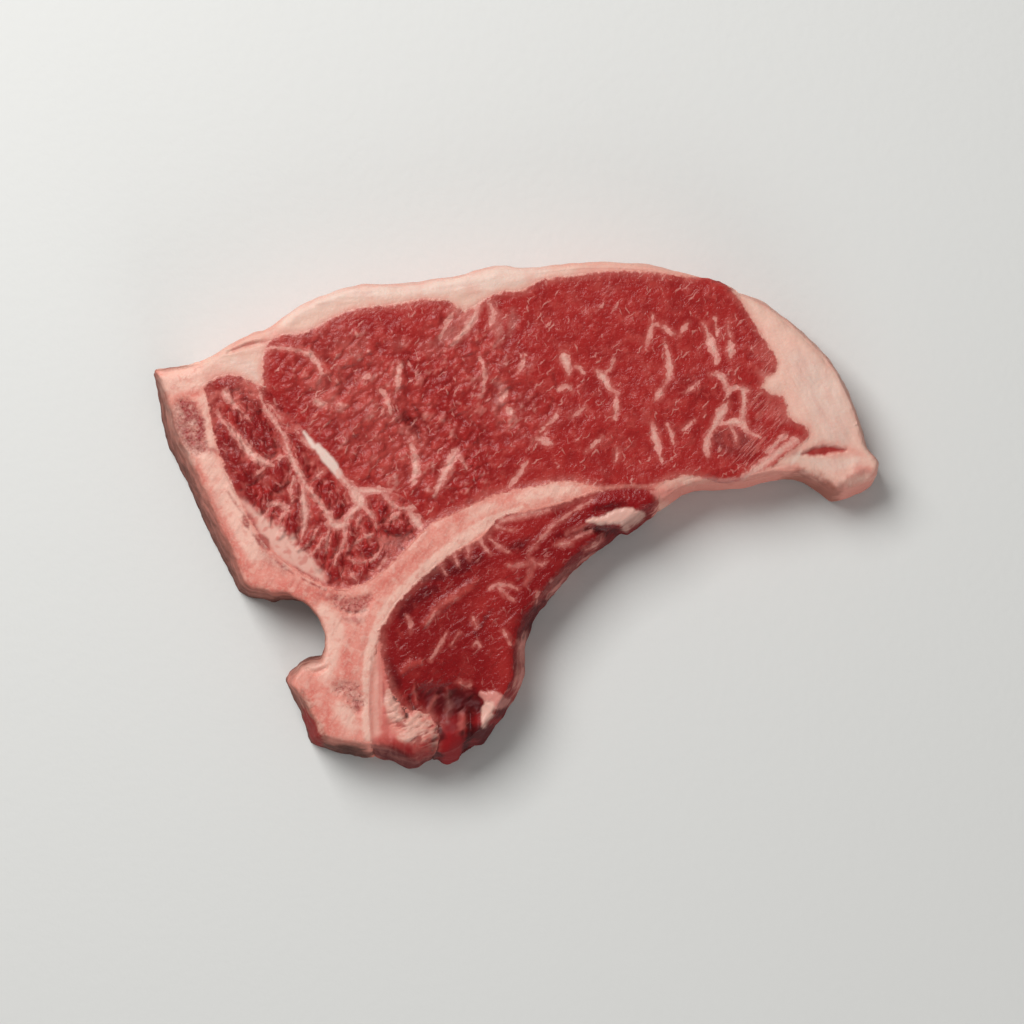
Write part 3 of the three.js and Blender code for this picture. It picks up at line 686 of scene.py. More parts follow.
BONE_COATS = [
    (
        "bone_pale",
        0.85,
        1.5,
        [
            ((6, 8, 7), [(163, 384), (180, 380), (200, 376)]),
            ((2.4, 2.8, 2.4), [(164, 404), (178, 432), (192, 462)]),
            ((2.0, 2.6, 3.0), [(204, 398), (207, 420), (211, 446)]),
            ((4.0, 9.0, 7.0, 5.0), [(205, 456), (216, 478), (232, 516), (254, 552)]),
            ((3.0, 6.0, 5.0, 3.0), [(322, 606), (335, 628), (334, 650), (326, 676)]),
            ((3.0, 5.0, 3.0), [(340, 706), (347, 716), (352, 726)]),
            ((1.0, 2.6, 1.2), [(466, 519), (480, 511), (494, 504)]),
            ((2.0, 4.0, 4.0, 2.0), [(520, 498), (540, 492), (558, 490), (576, 490)]),
            ((1.8, 3.0, 1.8), [(293, 670), (306, 666), (322, 664)]),
        ],
    ),
    (
        "blush",
        0.7,
        1.4,
        [
            ((1.4, 3.0, 3.4, 3.0), [(198, 466), (211, 496), (229, 538), (252, 584)]),
            ((3.0, 6.0, 5.0, 3.0), [(270, 588), (292, 590), (316, 596), (336, 592)]),
            ((1.0, 2.2, 2.2, 1.2), [(366, 598), (384, 584), (404, 568), (428, 549)]),
            ((1.0, 2.6, 1.0), [(450, 522), (463, 515), (474, 510)]),
            ((3.0, 5.0, 4.0), [(345, 652), (349, 662), (348, 674)]),
            ((2.0, 4.0, 4.0, 3.0), [(310, 688), (316, 704), (326, 720), (330, 730)]),
            ((0.8, 1.8, 0.8), [(182, 394), (190, 394), (198, 393)]),
        ],
    ),
    (
        "stale_and_shade",
        0.8,
        1.2,
        [
            ((4.0, 8.0, 8.0, 6.0), [(180, 408), (184, 420), (189, 433), (196, 445)]),
            ((2.0, 3.4, 2.0), [(194, 446), (204, 449), (214, 451)]),
        ],
    ),
    (
        "stale_and_shade",
        0.5,
        1.6,
        [
            ((3.0, 5.0, 4.0), [(338, 684), (350, 688), (359, 702)]),
            ((2, 3, 2), [(262, 552), (272, 560), (284, 570)]),
        ],
    ),
    (
        "bone_pale",
        0.85,
        0.5,
        [
            (
                (2.6, 2.6, 2.6, 2.8, 3.0, 3.2, 3.4, 3.4, 3.0, 1.0),
                [
                    (367, 736), (367, 700), (367, 672), (370, 648), (377, 627), (387, 609), (402, 591),
                    (420, 574), (438, 558), (457, 543), (476, 529), (500, 516), (522, 507),
                ],
            )
        ],
    ),
    (
        "marrow",
        0.85,
        0.9,
        [
            ((2.5, 4.0, 4.0), [(184, 403), (190, 407), (193, 414)]),
            ((2.0, 3.4, 3.0, 1.5), [(195, 414), (199, 424), (200, 434), (198, 442)]),
            ((1.0, 2.0, 1.0), [(186, 430), (190, 438), (194, 444)]),
        ],
    ),
    (
        "marrow",
        0.6,
        0.8,
        [
            ((0.8, 3.4, 4.4, 3.4, 0.8), [(332, 598), (342, 604), (353, 606), (363, 604), (371, 596)]),
            ((0.8, 2.4, 0.8), [(344, 619), (355, 621), (363, 620)]),
            ((0.4, 1.2, 0.5), [(319, 593), (325, 597), (331, 599)]),
            ((0.6, 1.2, 0.6), [(353, 697), (357, 705), (358, 712)]),
        ],
    ),
    ("blood_and_shade", 0.55, 0.35, [((0.2, 0.8, 0.8, 0.2), [(341, 610), (350, 612), (360, 612), (369, 609)])]),
    ("lean_dark_and_shade", 0.85, 0.4, RED_SPOTS),
    ("stale_and_shade", 0.6, 0.35, [((0.2, 0.6, 0.5, 0.2), [(372, 650), (370, 680), (370, 710), (371, 732)])]),
    ("stale_and_shade", 0.45, 0.35, [((0.2, 0.6, 0.2), [(221, 464), (229, 482), (237, 498)])]),
]
BONE_SPONGE = [
    ((4, 8, 8, 6), [(182, 406), (187, 419), (192, 432), (197, 444)]),
    ((1.0, 4.0, 5.0, 4.0, 1.0), [(333, 597), (343, 603), (353, 608), (363, 604), (370, 597)]),
    ((3.0, 6.0, 5.0), [(340, 690), (352, 692), (358, 705)]),
]
BONE_SIDE_COATS = [
    ("rind_and_shade", 0.7, 0.8, [((1.0, 2.6, 3.4, 2.6), [(301, 688), (308, 706), (315, 722), (323, 738)])]),
    ("crimson", 0.85, 0.6, [((2, 4.4, 4.4, 3), [(303, 714), (308, 726), (313, 738), (317, 746)])]),
    # Painted shade on the lower side of the bone's foot.
    ("rind_shade", 0.8, 1.2, [((2, 4, 4, 2), [(322, 748), (338, 752), (354, 755), (370, 757)])]),
    ("bone_pale", 0.8, 0.8, [((2, 3, 3), [(158, 365), (182, 361), (207, 357)])]),
    ("fat_pink", 0.5, 0.8, [((2, 3.4, 1), [(286, 678), (292, 684), (298, 692)])]),
]
BONE_CREASES = [((0.5, 1.2, 0.6), [(306, 668), (314, 674), (326, 668)])]

# The paint of each node: its base, its coats, and how far it blushes at the seam between fat and lean.
LOOKS = {
    "spinal_muscle": ("lean", SPINAL_COATS, 0.3),
    "strip_loin": ("lean", STRIP_COATS, 0.35),
    "tenderloin": ("tender", TENDERLOIN_COATS, 0.3),
    "suet": ("suet", SUET_COATS, 0.3),
    "fat_cap": ("fat", CAP_COATS, 0.8),
    "tail_fat": ("fat", TAIL_COATS, 0.7),
    "bone": ("bone", BONE_COATS, 0.25),
}


# Mesh work


def smooth_step(values, low, high):
    """0 below low to 1 above high, with soft ends."""
    share = np.clip((values - low) / (high - low), 0, 1)
    return share * share * (3 - 2 * share)


def plan(pixels):
    """Pixels of the photograph as places on the upper face, in mm."""
    u, v = np.array(pixels, float).T
    return np.stack([(u - IMAGE / 2) * PIXEL + EYE[0], (IMAGE / 2 - v) * PIXEL + EYE[1]], 1)


def flowing(line, rounds=2):
    """A line with its corners cut off again and again."""
    for _ in range(rounds):
        early = line[:-1] * 0.75 + line[1:] * 0.25
        late = line[:-1] * 0.25 + line[1:] * 0.75
        line = np.concatenate([line[:1], np.stack([early, late], 1).reshape(-1, 2), line[-1:]])
    return line


def to_strokes(places, strokes):
    """Distance in mm from level places to the edge of the nearest stroke, below zero inside it."""
    found = np.full(len(places), REACH)
    for widths, pixels in strokes:
        line = flowing(plan(pixels))
        steps = np.linalg.norm(np.diff(line, axis=0), axis=1)
        shares = np.concatenate([[0], np.cumsum(steps)]) / steps.sum()
        halves = np.interp(shares, np.linspace(0, 1, len(widths)), widths) / 2
        margin = REACH + halves.max()
        beside = (places > line.min(0) - margin) & (places < line.max(0) + margin)
        near = np.flatnonzero(beside.all(axis=1))
        for start, end, first, last in zip(line[:-1], line[1:], halves[:-1], halves[1:]):
            run = end - start
            away = places[near] - start
            share = np.clip(away @ run / (run @ run), 0, 1)
            gap = np.linalg.norm(away - share[:, None] * run, axis=1) - (first + (last - first) * share)
            found[near] = np.minimum(found[near], gap)
    return found


def cloud(points, size, octaves=2, seed=0.0):
    """Soft noise from about -1 to 1, with lumps of a size in mm for all axes or for each."""
    return np.array([noise.fractal(spot, 1, 2, octaves) for spot in points / np.array(size) + seed])


def cells(points, size, seed=0.0):
    """Distance from the borders of crooked cells, from 0 to about 1. They are as long as a size in mm."""
    bend = np.stack([cloud(points, 3.0, 2, seed + 1), cloud(points, 3.0, 2, seed + 2), 0 * points[:, 2]], 1)
    gaps = [noise.voronoi(spot)[0] for spot in (points * (1, 1, 0) + bend) / (*size, 1) + seed]
    return np.array([gap[1] - gap[0] for gap in gaps])


def turned(points, degrees):
    """Points in mm turned level, so that x runs along a grain at an angle to the steak's length."""
    angle = math.radians(degrees)
    x, y, z = points.T
    along = x * math.cos(angle) + y * math.sin(angle)
    across = y * math.cos(angle) - x * math.sin(angle)
    return np.stack([along, across, z], 1)


def solid_tree(nodes):
    """A search tree over the solids of some nodes, in mm."""
    corners, faces = [], []
    for node in nodes:
        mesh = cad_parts[node].data
        start = len(corners)
        corners += [vertex.co / MM for vertex in mesh.vertices]
        faces += [[start + i for i in face.vertices] for face in mesh.polygons]
    return BVHTree.FromPolygons(corners, faces)


def gap_to(points, node):
    """Distance in mm from points to a node's solid, up to the reach, and the level way there."""
    tree = solid_tree([node])
    gaps = np.full(len(points), REACH)
    ways = np.zeros((len(points), 2))
    for i, point in enumerate(points):
        spot, _, _, gap = tree.find_nearest(point, REACH)
        if spot is not None:
            gaps[i] = gap
            ways[i] = spot[0] - point[0], spot[1] - point[1]
    sizes = np.linalg.norm(ways, axis=1)
    return gaps, ways / np.maximum(sizes, 1e-6)[:, None]


def lid(tree, place):
    """Mean height in mm of the upper faces around a level place, or None beside the steak."""
    tops = []
    for apart in (0.6, 1.8):  # mm
        for x, y in ((0, 0), (apart, 0), (-apart, 0), (0, apart), (0, -apart)):
            spot = tree.ray_cast((place[0] + x, place[1] + y, 2 * TOP), (0, 0, -1))[0]
            if spot is not None and spot[2] > 0.8 * TOP:
                tops.append(spot[2])
        if len(tops) < 2:
            return None
    return sum(tops) / len(tops)


class Clay:
    """A piece's vertices in mm, while they are moved and painted."""

    def __init__(self, piece, node, sizes, shades):
        self.mesh = piece.data
        self.node = node
        self.shades = shades
        flat = np.empty(3 * len(self.mesh.vertices), np.float32)
        self.mesh.vertices.foreach_get("co", flat)
        self.points = flat.reshape(-1, 3).astype(float) / MM
        self.mesh.vertex_normals.foreach_get("vector", flat)
        self.normals = flat.reshape(-1, 3).astype(float)
        self.up = smooth_step(self.normals[:, 2], 0.3, 0.85)
        self.side = 1 - smooth_step(np.abs(self.normals[:, 2]), 0.4, 0.8)
        self.open = 1 - smooth_step(self.normals[:, 2], 0.3, 0.8)
        self.join(sizes.overlap / MM)
        self.level = self.points[:, :2].copy()
        self.points[:, 2] += SWELL_HEIGHT * self.up * cloud(self.points * (1, 1, 0), sizes.swell / MM)
        self.wander = cloud(self.points, FRAY, 3, 11.0)
        self.swell(SIDE_SWELL)

    def join(self, overlap, width=3.0):
        """Stretches the piece over or under its neighbours, so that no gap shows between them."""
        start = self.points.copy()
        # The lower part of a side is stretched less.
        high = 0.3 + 0.7 * smooth_step(start[:, 2], 0.55 * TOP, 0.75 * TOP)
        near = np.full(len(start), REACH)
        rise = np.zeros(len(start))
        move = np.zeros((len(start), 2))
        gaps, pushes = {}, {}
        for name in ORDER:
            if name == self.node:
                continue
            gaps[name], ways = gap_to(start, name)
            near = np.minimum(near, gaps[name])
            beside = np.clip(1 - gaps[name] / width, 0, 1)
            facing = (self.normals[:, :2] * ways).sum(axis=1)
            share = np.maximum(self.up, 0.4 + 0.6 * smooth_step(facing, 0, 0.6))
            over = ORDER.index(name) > ORDER.index(self.node)
            pushes[name] = (overlap if over else UNDERLAP) * beside * share * high
            move += ways * pushes[name][:, None]
            if over:
                rise += 0.06 * beside - 0.5 * smooth_step(pushes[name] - gaps[name], 0.4, 1.3)
            else:
                rise -= 0.1 * beside + 0.15 * (1 - smooth_step(gaps[name], 0.1, 0.8))

        # A stretched edge stays within the outline, and lies on the faces below it.
        everything = solid_tree(ORDER)
        flat = 1 - smooth_step(near, 1.2, width)
        held = np.ones(len(start))
        for i in np.flatnonzero((near < width) & (start[:, 2] > 0.6 * TOP)):
            for stretch in np.linspace(1, 0, 11):
                top = lid(everything, start[i, :2] + stretch * move[i])
                if top is not None:
                    break
            held[i] = stretch
            if top is not None and -3.5 < top - start[i, 2] < 1.8:
                self.points[i, 2] += (top - start[i, 2]) * flat[i] + rise[i]
                self.up[i] = max(self.up[i], flat[i])
        self.points[:, :2] += move * held[:, None]

        # How far each vertex still is from its neighbours, below zero over them, and from fat or lean
        self.past = {}
        self.seam = np.full(len(start), REACH)
        for name, gap in gaps.items():
            self.past[name] = np.where(gap < REACH, gap - held * pushes[name], REACH)
            if (name in LEAN) != (self.node in LEAN):
                self.seam = np.minimum(self.seam, self.past[name])
        self.calm = smooth_step(near, 0.5, 4)
        self.side *= smooth_step(near, 0.3, width)
        self.relax(0.5 * (1 - smooth_step(near, 1.5, width)))

    def relax(self, shares, rounds=3):
        """Moves vertices towards the middle of those beside them, by a share for each."""
        ends = np.empty(2 * len(self.mesh.edges), np.int32)
        self.mesh.edges.foreach_get("vertices", ends)
        first, second = ends.reshape(-1, 2).T
        counts = np.bincount(ends, minlength=len(self.points))[:, None]
        for _ in range(rounds):
            sums = np.zeros_like(self.points)
            np.add.at(sums, first, self.points[second])
            np.add.at(sums, second, self.points[first])
            self.points += shares[:, None] * (sums / counts - self.points)

    def inside(self, strokes, low, high):
        """From 0 at a low depth in mm inside some strokes to 1 at a high one."""
        return smooth_step(-to_strokes(self.level, strokes), low, high)

    def lift(self, heights):
        """Raises the upper face, less so beside a neighbour."""
        self.points[:, 2] += heights * self.up * self.calm

    def shift(self, strokes, way):
        """Moves the piece around some strokes a way in mm, and keeps its foot on the floor."""
        share = self.inside(strokes, -5, 0.5)[:, None]
        level = np.ones(len(share))
        self.points += share * way * np.stack([level, level, self.points[:, 2] / TOP], 1)

    def slope(self, ridge, steepness):
        """Lets the piece fall away below a ridge that runs along the steak's length."""
        x, y = plan(ridge).T
        below = np.maximum(np.interp(self.level[:, 0], x, y) - self.level[:, 1], 0)
        within = smooth_step(self.level[:, 0], x[0], x[1])
        drop = steepness * within * (np.hypot(below, 1.0) - 1.0)
        self.points[:, 2] -= np.minimum(drop, 0.7 * TOP) * self.points[:, 2] / TOP
        self.open = np.maximum(self.open, within * smooth_step(below, 0, 2))

    def swell(self, heights):
        """Pushes the open side out."""
        self.points += self.normals * (heights * self.side)[:, None]

    def blend(self, colours, shade, weights):
        """Lays a shade over colours by a weight for each vertex."""
        colours += (np.array(getattr(self.shades, shade)) - colours) * np.clip(weights, 0, 1)[:, None]

    def coat(self, colours, coats, drift=0.0):
        """Lays strokes of shades over colours, with frayed edges that drift some mm down the side."""
        drifts = drift * cloud(self.points, 5, 2, 21.0) if drift else 0.0
        for shade, strength, blur, strokes in coats:
            gaps = to_strokes(self.level, strokes) + 0.9 * min(blur, 1.0) * self.wander + drifts
            self.blend(colours, shade, strength * smooth_step(-gaps, -blur, blur))

    def look(self, node, depth):
        """A node's paint at each vertex, which blushes towards the seam between fat and lean."""
        base, coats, blush = LOOKS[node]
        colours = np.tile(np.array(getattr(self.shades, base)), (len(self.points), 1))
        self.coat(colours, coats)
        near = 1 - smooth_step(depth, 0.0, 2.6)
        self.blend(colours, "fat_pink", blush * near * (0.85 + 0.5 * self.wander))
        return colours

    def prime(self):
        """Paints the piece, and keeps the look of the neighbours that it is stretched over."""
        self.paint = self.look(self.node, self.seam)
        self.rim = self.paint.copy()
        closest = np.full(len(self.points), 3.0)
        for name, past in self.past.items():
            if past.min() == REACH:
                continue
            if (name in LEAN) == (self.node in LEAN):
                share = 1 - smooth_step(past, -1.5, 1.5)
                self.paint += (self.look(name, self.seam) - self.paint) * share[:, None]
            elif self.node in LEAN:
                nearer = past < closest
                self.rim[nearer] = self.look(name, -past)[nearer]
                closest[nearer] = past[nearer]

    def shade_side(self, shade, strength, bottom):
        """Lays blotches of a shade over the open side, denser towards the bottom: painted shade that deepens
        down the side, with the side's own blotches.
        """
        blotches = 0.5 + 0.5 * cloud(self.points, (5, 5, 3), 3, 4.0)
        low = 1 - self.points[:, 2] / TOP
        weights = np.clip(strength * (0.4 + 0.9 * blotches) + bottom * (low - 0.4), 0, 1)
        self.blend(self.paint, shade, self.side * weights)

    def note(self, name, values):
        """Keeps a value for each vertex, for the material."""
        attribute = self.mesh.attributes.new(name, "FLOAT", "POINT")
        attribute.data.foreach_set("value", values.astype(np.float32))

    def set(self):
        """Puts the vertices where they were moved, none of them below the floor, and keeps their paint."""
        self.points[:, 2] = np.maximum(self.points[:, 2], 0)
        self.mesh.vertices.foreach_set("co", (self.points * MM).astype(np.float32).ravel())
        for name, colours in (("paint", self.paint), ("rim", self.rim)):
            kept_colours = self.mesh.color_attributes.new(name, "FLOAT_COLOR", "POINT")
            opaque = np.concatenate([colours, np.ones((len(colours), 1))], 1)
            kept_colours.data.foreach_set("color", opaque.astype(np.float32).ravel())
        self.note("seam", self.seam)
        self.note("outside", self.open)
        self.mesh.update()


def apply_modifier(piece, kind, **settings):
    """Adds a modifier to the active piece and applies it."""
    modifier = piece.modifiers.new(kind.lower(), kind)
    for key, value in settings.items():
        setattr(modifier, key, value)
    bpy.ops.object.modifier_apply(modifier=modifier.name)


def skin(node, name, voxel, soften=5):
    """A fine skin over a copy of a node's solid, softened at its edges and finer on its upper face."""
    bpy.ops.object.select_all(action="DESELECT")
    piece = bpy.data.objects.new(name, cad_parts[node].data.copy())
    piece.data.name = name
    piece.data.materials.clear()
    bpy.context.collection.objects.link(piece)
    bpy.context.view_layer.objects.active = piece
    piece.select_set(True)
    bpy.ops.object.mode_set(mode="EDIT")
    bpy.ops.mesh.select_all(action="SELECT")
    bpy.ops.mesh.remove_doubles(threshold=0.001 * MM)
    bpy.ops.object.mode_set(mode="OBJECT")
    apply_modifier(piece, "REMESH", mode="VOXEL", voxel_size=voxel)
    apply_modifier(piece, "SMOOTH", factor=0.5, iterations=soften)
    bpy.ops.object.mode_set(mode="EDIT")
    bpy.ops.mesh.select_mode(type="FACE")
    bpy.ops.mesh.select_all(action="DESELECT")
    bpy.ops.object.mode_set(mode="OBJECT")
    for face in piece.data.polygons:
        face.select = face.normal.z > 0.6 and face.center.z > 0.5 * TOP * MM
    bpy.ops.object.mode_set(mode="EDIT")
    bpy.ops.mesh.subdivide(number_cuts=1, ngon=False)
    bpy.ops.object.mode_set(mode="OBJECT")
    bpy.ops.object.shade_smooth()
    return piece


def fit_out(piece, node, material):
    """Gives a finished piece its material and its place in the frame."""
    piece.data.materials.append(material)
    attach(piece, "root")
    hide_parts(node)


# Materials


def put(tree, kind, out=0, inputs=None, **settings):
    """Adds a node with its settings, and links or sets its inputs. Gives one of its outputs."""
    made = tree.nodes.new(kind)
    for key, value in settings.items():
        setattr(made, key, value)
    for key, value in (inputs or {}).items():
        if isinstance(value, bpy.types.NodeSocket):
            tree.links.new(value, made.inputs[key])
        else:
            made.inputs[key].default_value = value
    return made.outputs[out] if made.outputs else None


def begin(name):
    """A new material, its tree, and a place on the piece in mm."""
    material = bpy.data.materials.new(name)
    material.use_nodes = True
    tree = material.node_tree
    tree.nodes.clear()
    place = put(tree, "ShaderNodeTexCoord", "Object")
    place = put(tree, "ShaderNodeVectorMath", 0, {0: place, "Scale": 1 / MM}, operation="SCALE")
    return material, tree, place


def mottle(tree, place, size, low, high, detail=2.0, distortion=0.0):
    """Noise with patches of a size in mm, as a mask from 0 at low to 1 at high."""
    inputs = {"Vector": place, "Scale": 1 / size, "Detail": detail, "Distortion": distortion}
    patches = put(tree, "ShaderNodeTexNoise", 0, inputs)
    inputs = {"Value": patches, "From Min": low, "From Max": high}
    return put(tree, "ShaderNodeMapRange", 0, inputs, interpolation_type="SMOOTHSTEP")


def streaks(tree, place, degrees, size, low, high, detail):
    """Noise drawn out along a grain, with patches of a size in mm for each axis, as a mask."""
    inputs = {"Vector": place, "Rotation": (0, 0, math.radians(degrees)), "Scale": size}
    along = put(tree, "ShaderNodeMapping", 0, inputs, vector_type="TEXTURE")
    return mottle(tree, along, 1.0, low, high, detail)


def specks(tree, place, degrees, size, smallest, largest, blur):
    """Scattered specks along the grain, one to a cell of a size in mm, with radii as shares of the cell."""
    bend = put(tree, "ShaderNodeTexNoise", 1, {"Vector": place, "Scale": 0.6, "Detail": 1.0})
    bend = put(tree, "ShaderNodeVectorMath", 0, {0: bend, 1: (0.5, 0.5, 0.5)}, operation="SUBTRACT")
    inputs = {0: bend, 1: (2.0, 2.0, 0), 2: place}
    bent = put(tree, "ShaderNodeVectorMath", 0, inputs, operation="MULTIPLY_ADD")
    inputs = {"Vector": bent, "Rotation": (0, 0, math.radians(degrees)), "Scale": size}
    along = put(tree, "ShaderNodeMapping", 0, inputs, vector_type="TEXTURE")
    near = put(tree, "ShaderNodeTexVoronoi", "Distance", {"Vector": along, "Scale": 1.0})
    luck = near.node.outputs["Color"]
    inputs = {"Value": luck, "From Min": 0.2, "From Max": 0.8, "To Min": smallest, "To Max": largest}
    radius = put(tree, "ShaderNodeMapRange", 0, inputs)
    inside = put(tree, "ShaderNodeMath", 0, {0: radius, 1: near}, operation="SUBTRACT")
    inputs = {"Value": inside, "From Min": -blur, "From Max": blur}
    return put(tree, "ShaderNodeMapRange", 0, inputs, interpolation_type="SMOOTHSTEP")


def frayed(tree, place, name, fray, size, blur, inset=0.0):
    """A mask that is 1 where a kept distance is below an inset, with an edge frayed and blurred in mm."""
    inputs = {"Vector": place, "Scale": 1 / size, "Detail": 3.0, "Roughness": 0.6}
    wander = put(tree, "ShaderNodeTexNoise", 0, inputs)
    wander = put(tree, "ShaderNodeMath", 0, {0: wander, 1: 0.5}, operation="SUBTRACT")
    distance = put(tree, "ShaderNodeAttribute", "Fac", attribute_name=name)
    inputs = {0: wander, 1: 4 * fray, 2: distance}
    edge = put(tree, "ShaderNodeMath", 0, inputs, operation="MULTIPLY_ADD")
    inputs = {"Value": edge, "From Min": blur - inset, "From Max": -blur - inset}
    return put(tree, "ShaderNodeMapRange", 0, inputs, interpolation_type="SMOOTHSTEP")


def scaled(tree, *factors):
    """The product of values and numbers, kept from 0 to 1."""
    product = factors[0]
    for factor in factors[1:]:
        inputs = {0: product, 1: factor}
        product = put(tree, "ShaderNodeMath", 0, inputs, operation="MULTIPLY", use_clamp=True)
    return product


def layered(tree, base, layers):
    """A colour with more colours laid over it, each through its mask."""
    for mask, shade in layers:
        shade = shade if isinstance(shade, bpy.types.NodeSocket) else (*shade, 1)
        base = put(tree, "ShaderNodeMix", 2, {0: mask, 6: base, 7: shade}, data_type="RGBA")
    return base


def stacked(tree, *heights):
    """The sum of heights, each a value and its share."""
    total = 0.0
    for height, share in heights:
        total = put(tree, "ShaderNodeMath", 0, {0: height, 1: share, 2: total}, operation="MULTIPLY_ADD")
    return total


def surface(tree, base, height, depth, roughness, shine, softness, radius):
    """The shader at the end of a material: its colour, fine relief in mm, shine and light let in."""
    bump = put(tree, "ShaderNodeBump", 0, {"Height": height, "Distance": depth * MM})
    inputs = {
        "Base Color": base,
        "Roughness": roughness,
        "IOR": 1.38,
        "Specular IOR Level": shine,
        "Normal": bump,
        "Subsurface Weight": softness,
        "Subsurface Radius": radius,
        "Subsurface Scale": MM,
    }
    shader = put(tree, "ShaderNodeBsdfPrincipled", 0, inputs)
    put(tree, "ShaderNodeOutputMaterial", 0, {"Surface": shader})


def raw_muscle(name, colours, grain, marbling):
    """Freshly cut muscle: moist red clumps of fibres, pale specks of fat along the grain, and veins."""
    material, tree, place = begin(name)
    paint = put(tree, "ShaderNodeAttribute", "Color", attribute_name="paint")
    rim = put(tree, "ShaderNodeAttribute", "Color", attribute_name="rim")
    lean = put(tree, "ShaderNodeAttribute", "Fac", attribute_name="lean")
    fibrous = put(tree, "ShaderNodeAttribute", "Fac", attribute_name="fibre")
    outside = put(tree, "ShaderNodeAttribute", "Fac", attribute_name="outside")
    deep = scaled(tree, mottle(tree, place, 6.0, 0.5, 0.34), lean)
    light = scaled(tree, mottle(tree, place, 4.5, 0.5, 0.7, 3.0), lean)
    blobs = scaled(tree, mottle(tree, place, 2.0, 0.53, 0.74, 3.0, 0.4), lean)
    grit = scaled(tree, mottle(tree, place, 1.1, 0.35, 0.7, 3.0, 0.3), lean)
    fade = mottle(tree, place, 3.0, 0.36, 0.52)
    flecks = scaled(tree, specks(tree, place, grain, (5.0, 1.1, 12), -1.0, 0.28, 0.1), lean, fade)
    curls = scaled(tree, specks(tree, place, grain + 55, (4.0, 1.0, 12), -0.9, 0.26, 0.1), lean, fade)
    lines = scaled(tree, specks(tree, place, grain - 14, (8.0, 0.8, 12), -1.1, 0.22, 0.09), lean)
    # Single fibres are too fine to show, so bundles of them, 0.7 mm wide, are drawn.
    fibre = streaks(tree, place, FIBRE_GRAIN, (5.0, 0.7, 6.0), 0.48, 0.68, 1.0)
    fibre = scaled(tree, fibre, fibrous, lean)
    veins = scaled(tree, frayed(tree, place, "vein", 0.8, 2.2, 0.25), stacked(tree, (fade, 0.5), (1.0, 0.45)))
    halos = scaled(tree, frayed(tree, place, "vein", 0.8, 2.0, 0.9, -0.5), lean)
    cores = frayed(tree, place, "vein", 0.5, 1.3, 0.5, 0.75)
    edge = frayed(tree, place, "seam", 0.6, 1.7, 0.45)
    base = layered(
        tree,
        paint,
        [
            (scaled(tree, deep, 0.4), colours.lean_dark_and_shade),
            (scaled(tree, light, 0.4 * marbling), colours.lean_light),
            (scaled(tree, blobs, 0.5 * marbling), colours.lean_light),
            (scaled(tree, flecks, 0.65 * marbling), colours.vein),
            (scaled(tree, curls, 0.55 * marbling), colours.vein),
            (scaled(tree, lines, 0.6 * marbling), colours.vein),
            (scaled(tree, fibre, 0.5), colours.film_and_shade),
            (scaled(tree, halos, 0.45), colours.film_and_shade),
            (scaled(tree, veins, 0.4 + 0.6 * marbling), colours.vein),
            (scaled(tree, cores, 0.7), colours.vein_pale),
            (edge, rim),
        ],
    )
    heights = [(blobs, 0.3), (grit, 0.35), (flecks, 0.3), (curls, 0.3), (lines, 0.2), (fibre, 0.3)]
    height = stacked(tree, *heights)
    roughness = stacked(tree, (veins, 0.1), (outside, 0.4), (1.0, 0.27))
    surface(tree, base, height, 0.28, roughness, shine=0.28, softness=0.1, radius=(1.2, 0.4, 0.3))
    return material


def cut_fat(name, colours, strands):
    """Cut beef fat: waxy and pale, with faint strands and soft patches."""
    material, tree, place = begin(name)
    paint = put(tree, "ShaderNodeAttribute", "Color", attribute_name="paint")
    outside = put(tree, "ShaderNodeAttribute", "Fac", attribute_name="outside")
    strand = streaks(tree, place, strands, (9, 1.6, 9), 0.45, 0.75, 3.0)
    warm = mottle(tree, place, 5.0, 0.45, 0.7, 3.0)
    grit = mottle(tree, place, 1.1, 0.3, 0.7, 3.0)
    layers = [(scaled(tree, strand, 0.16), colours.fat_pink), (scaled(tree, warm, 0.18), colours.fat_pink)]
    base = layered(tree, paint, layers)
    height = stacked(tree, (grit, 0.4), (strand, 0.15))
    roughness = stacked(tree, (outside, 0.35), (1.0, 0.42))
    surface(tree, base, height, 0.15, roughness, shine=0.3, softness=0.15, radius=(2.0, 1.0, 0.7))
    return material


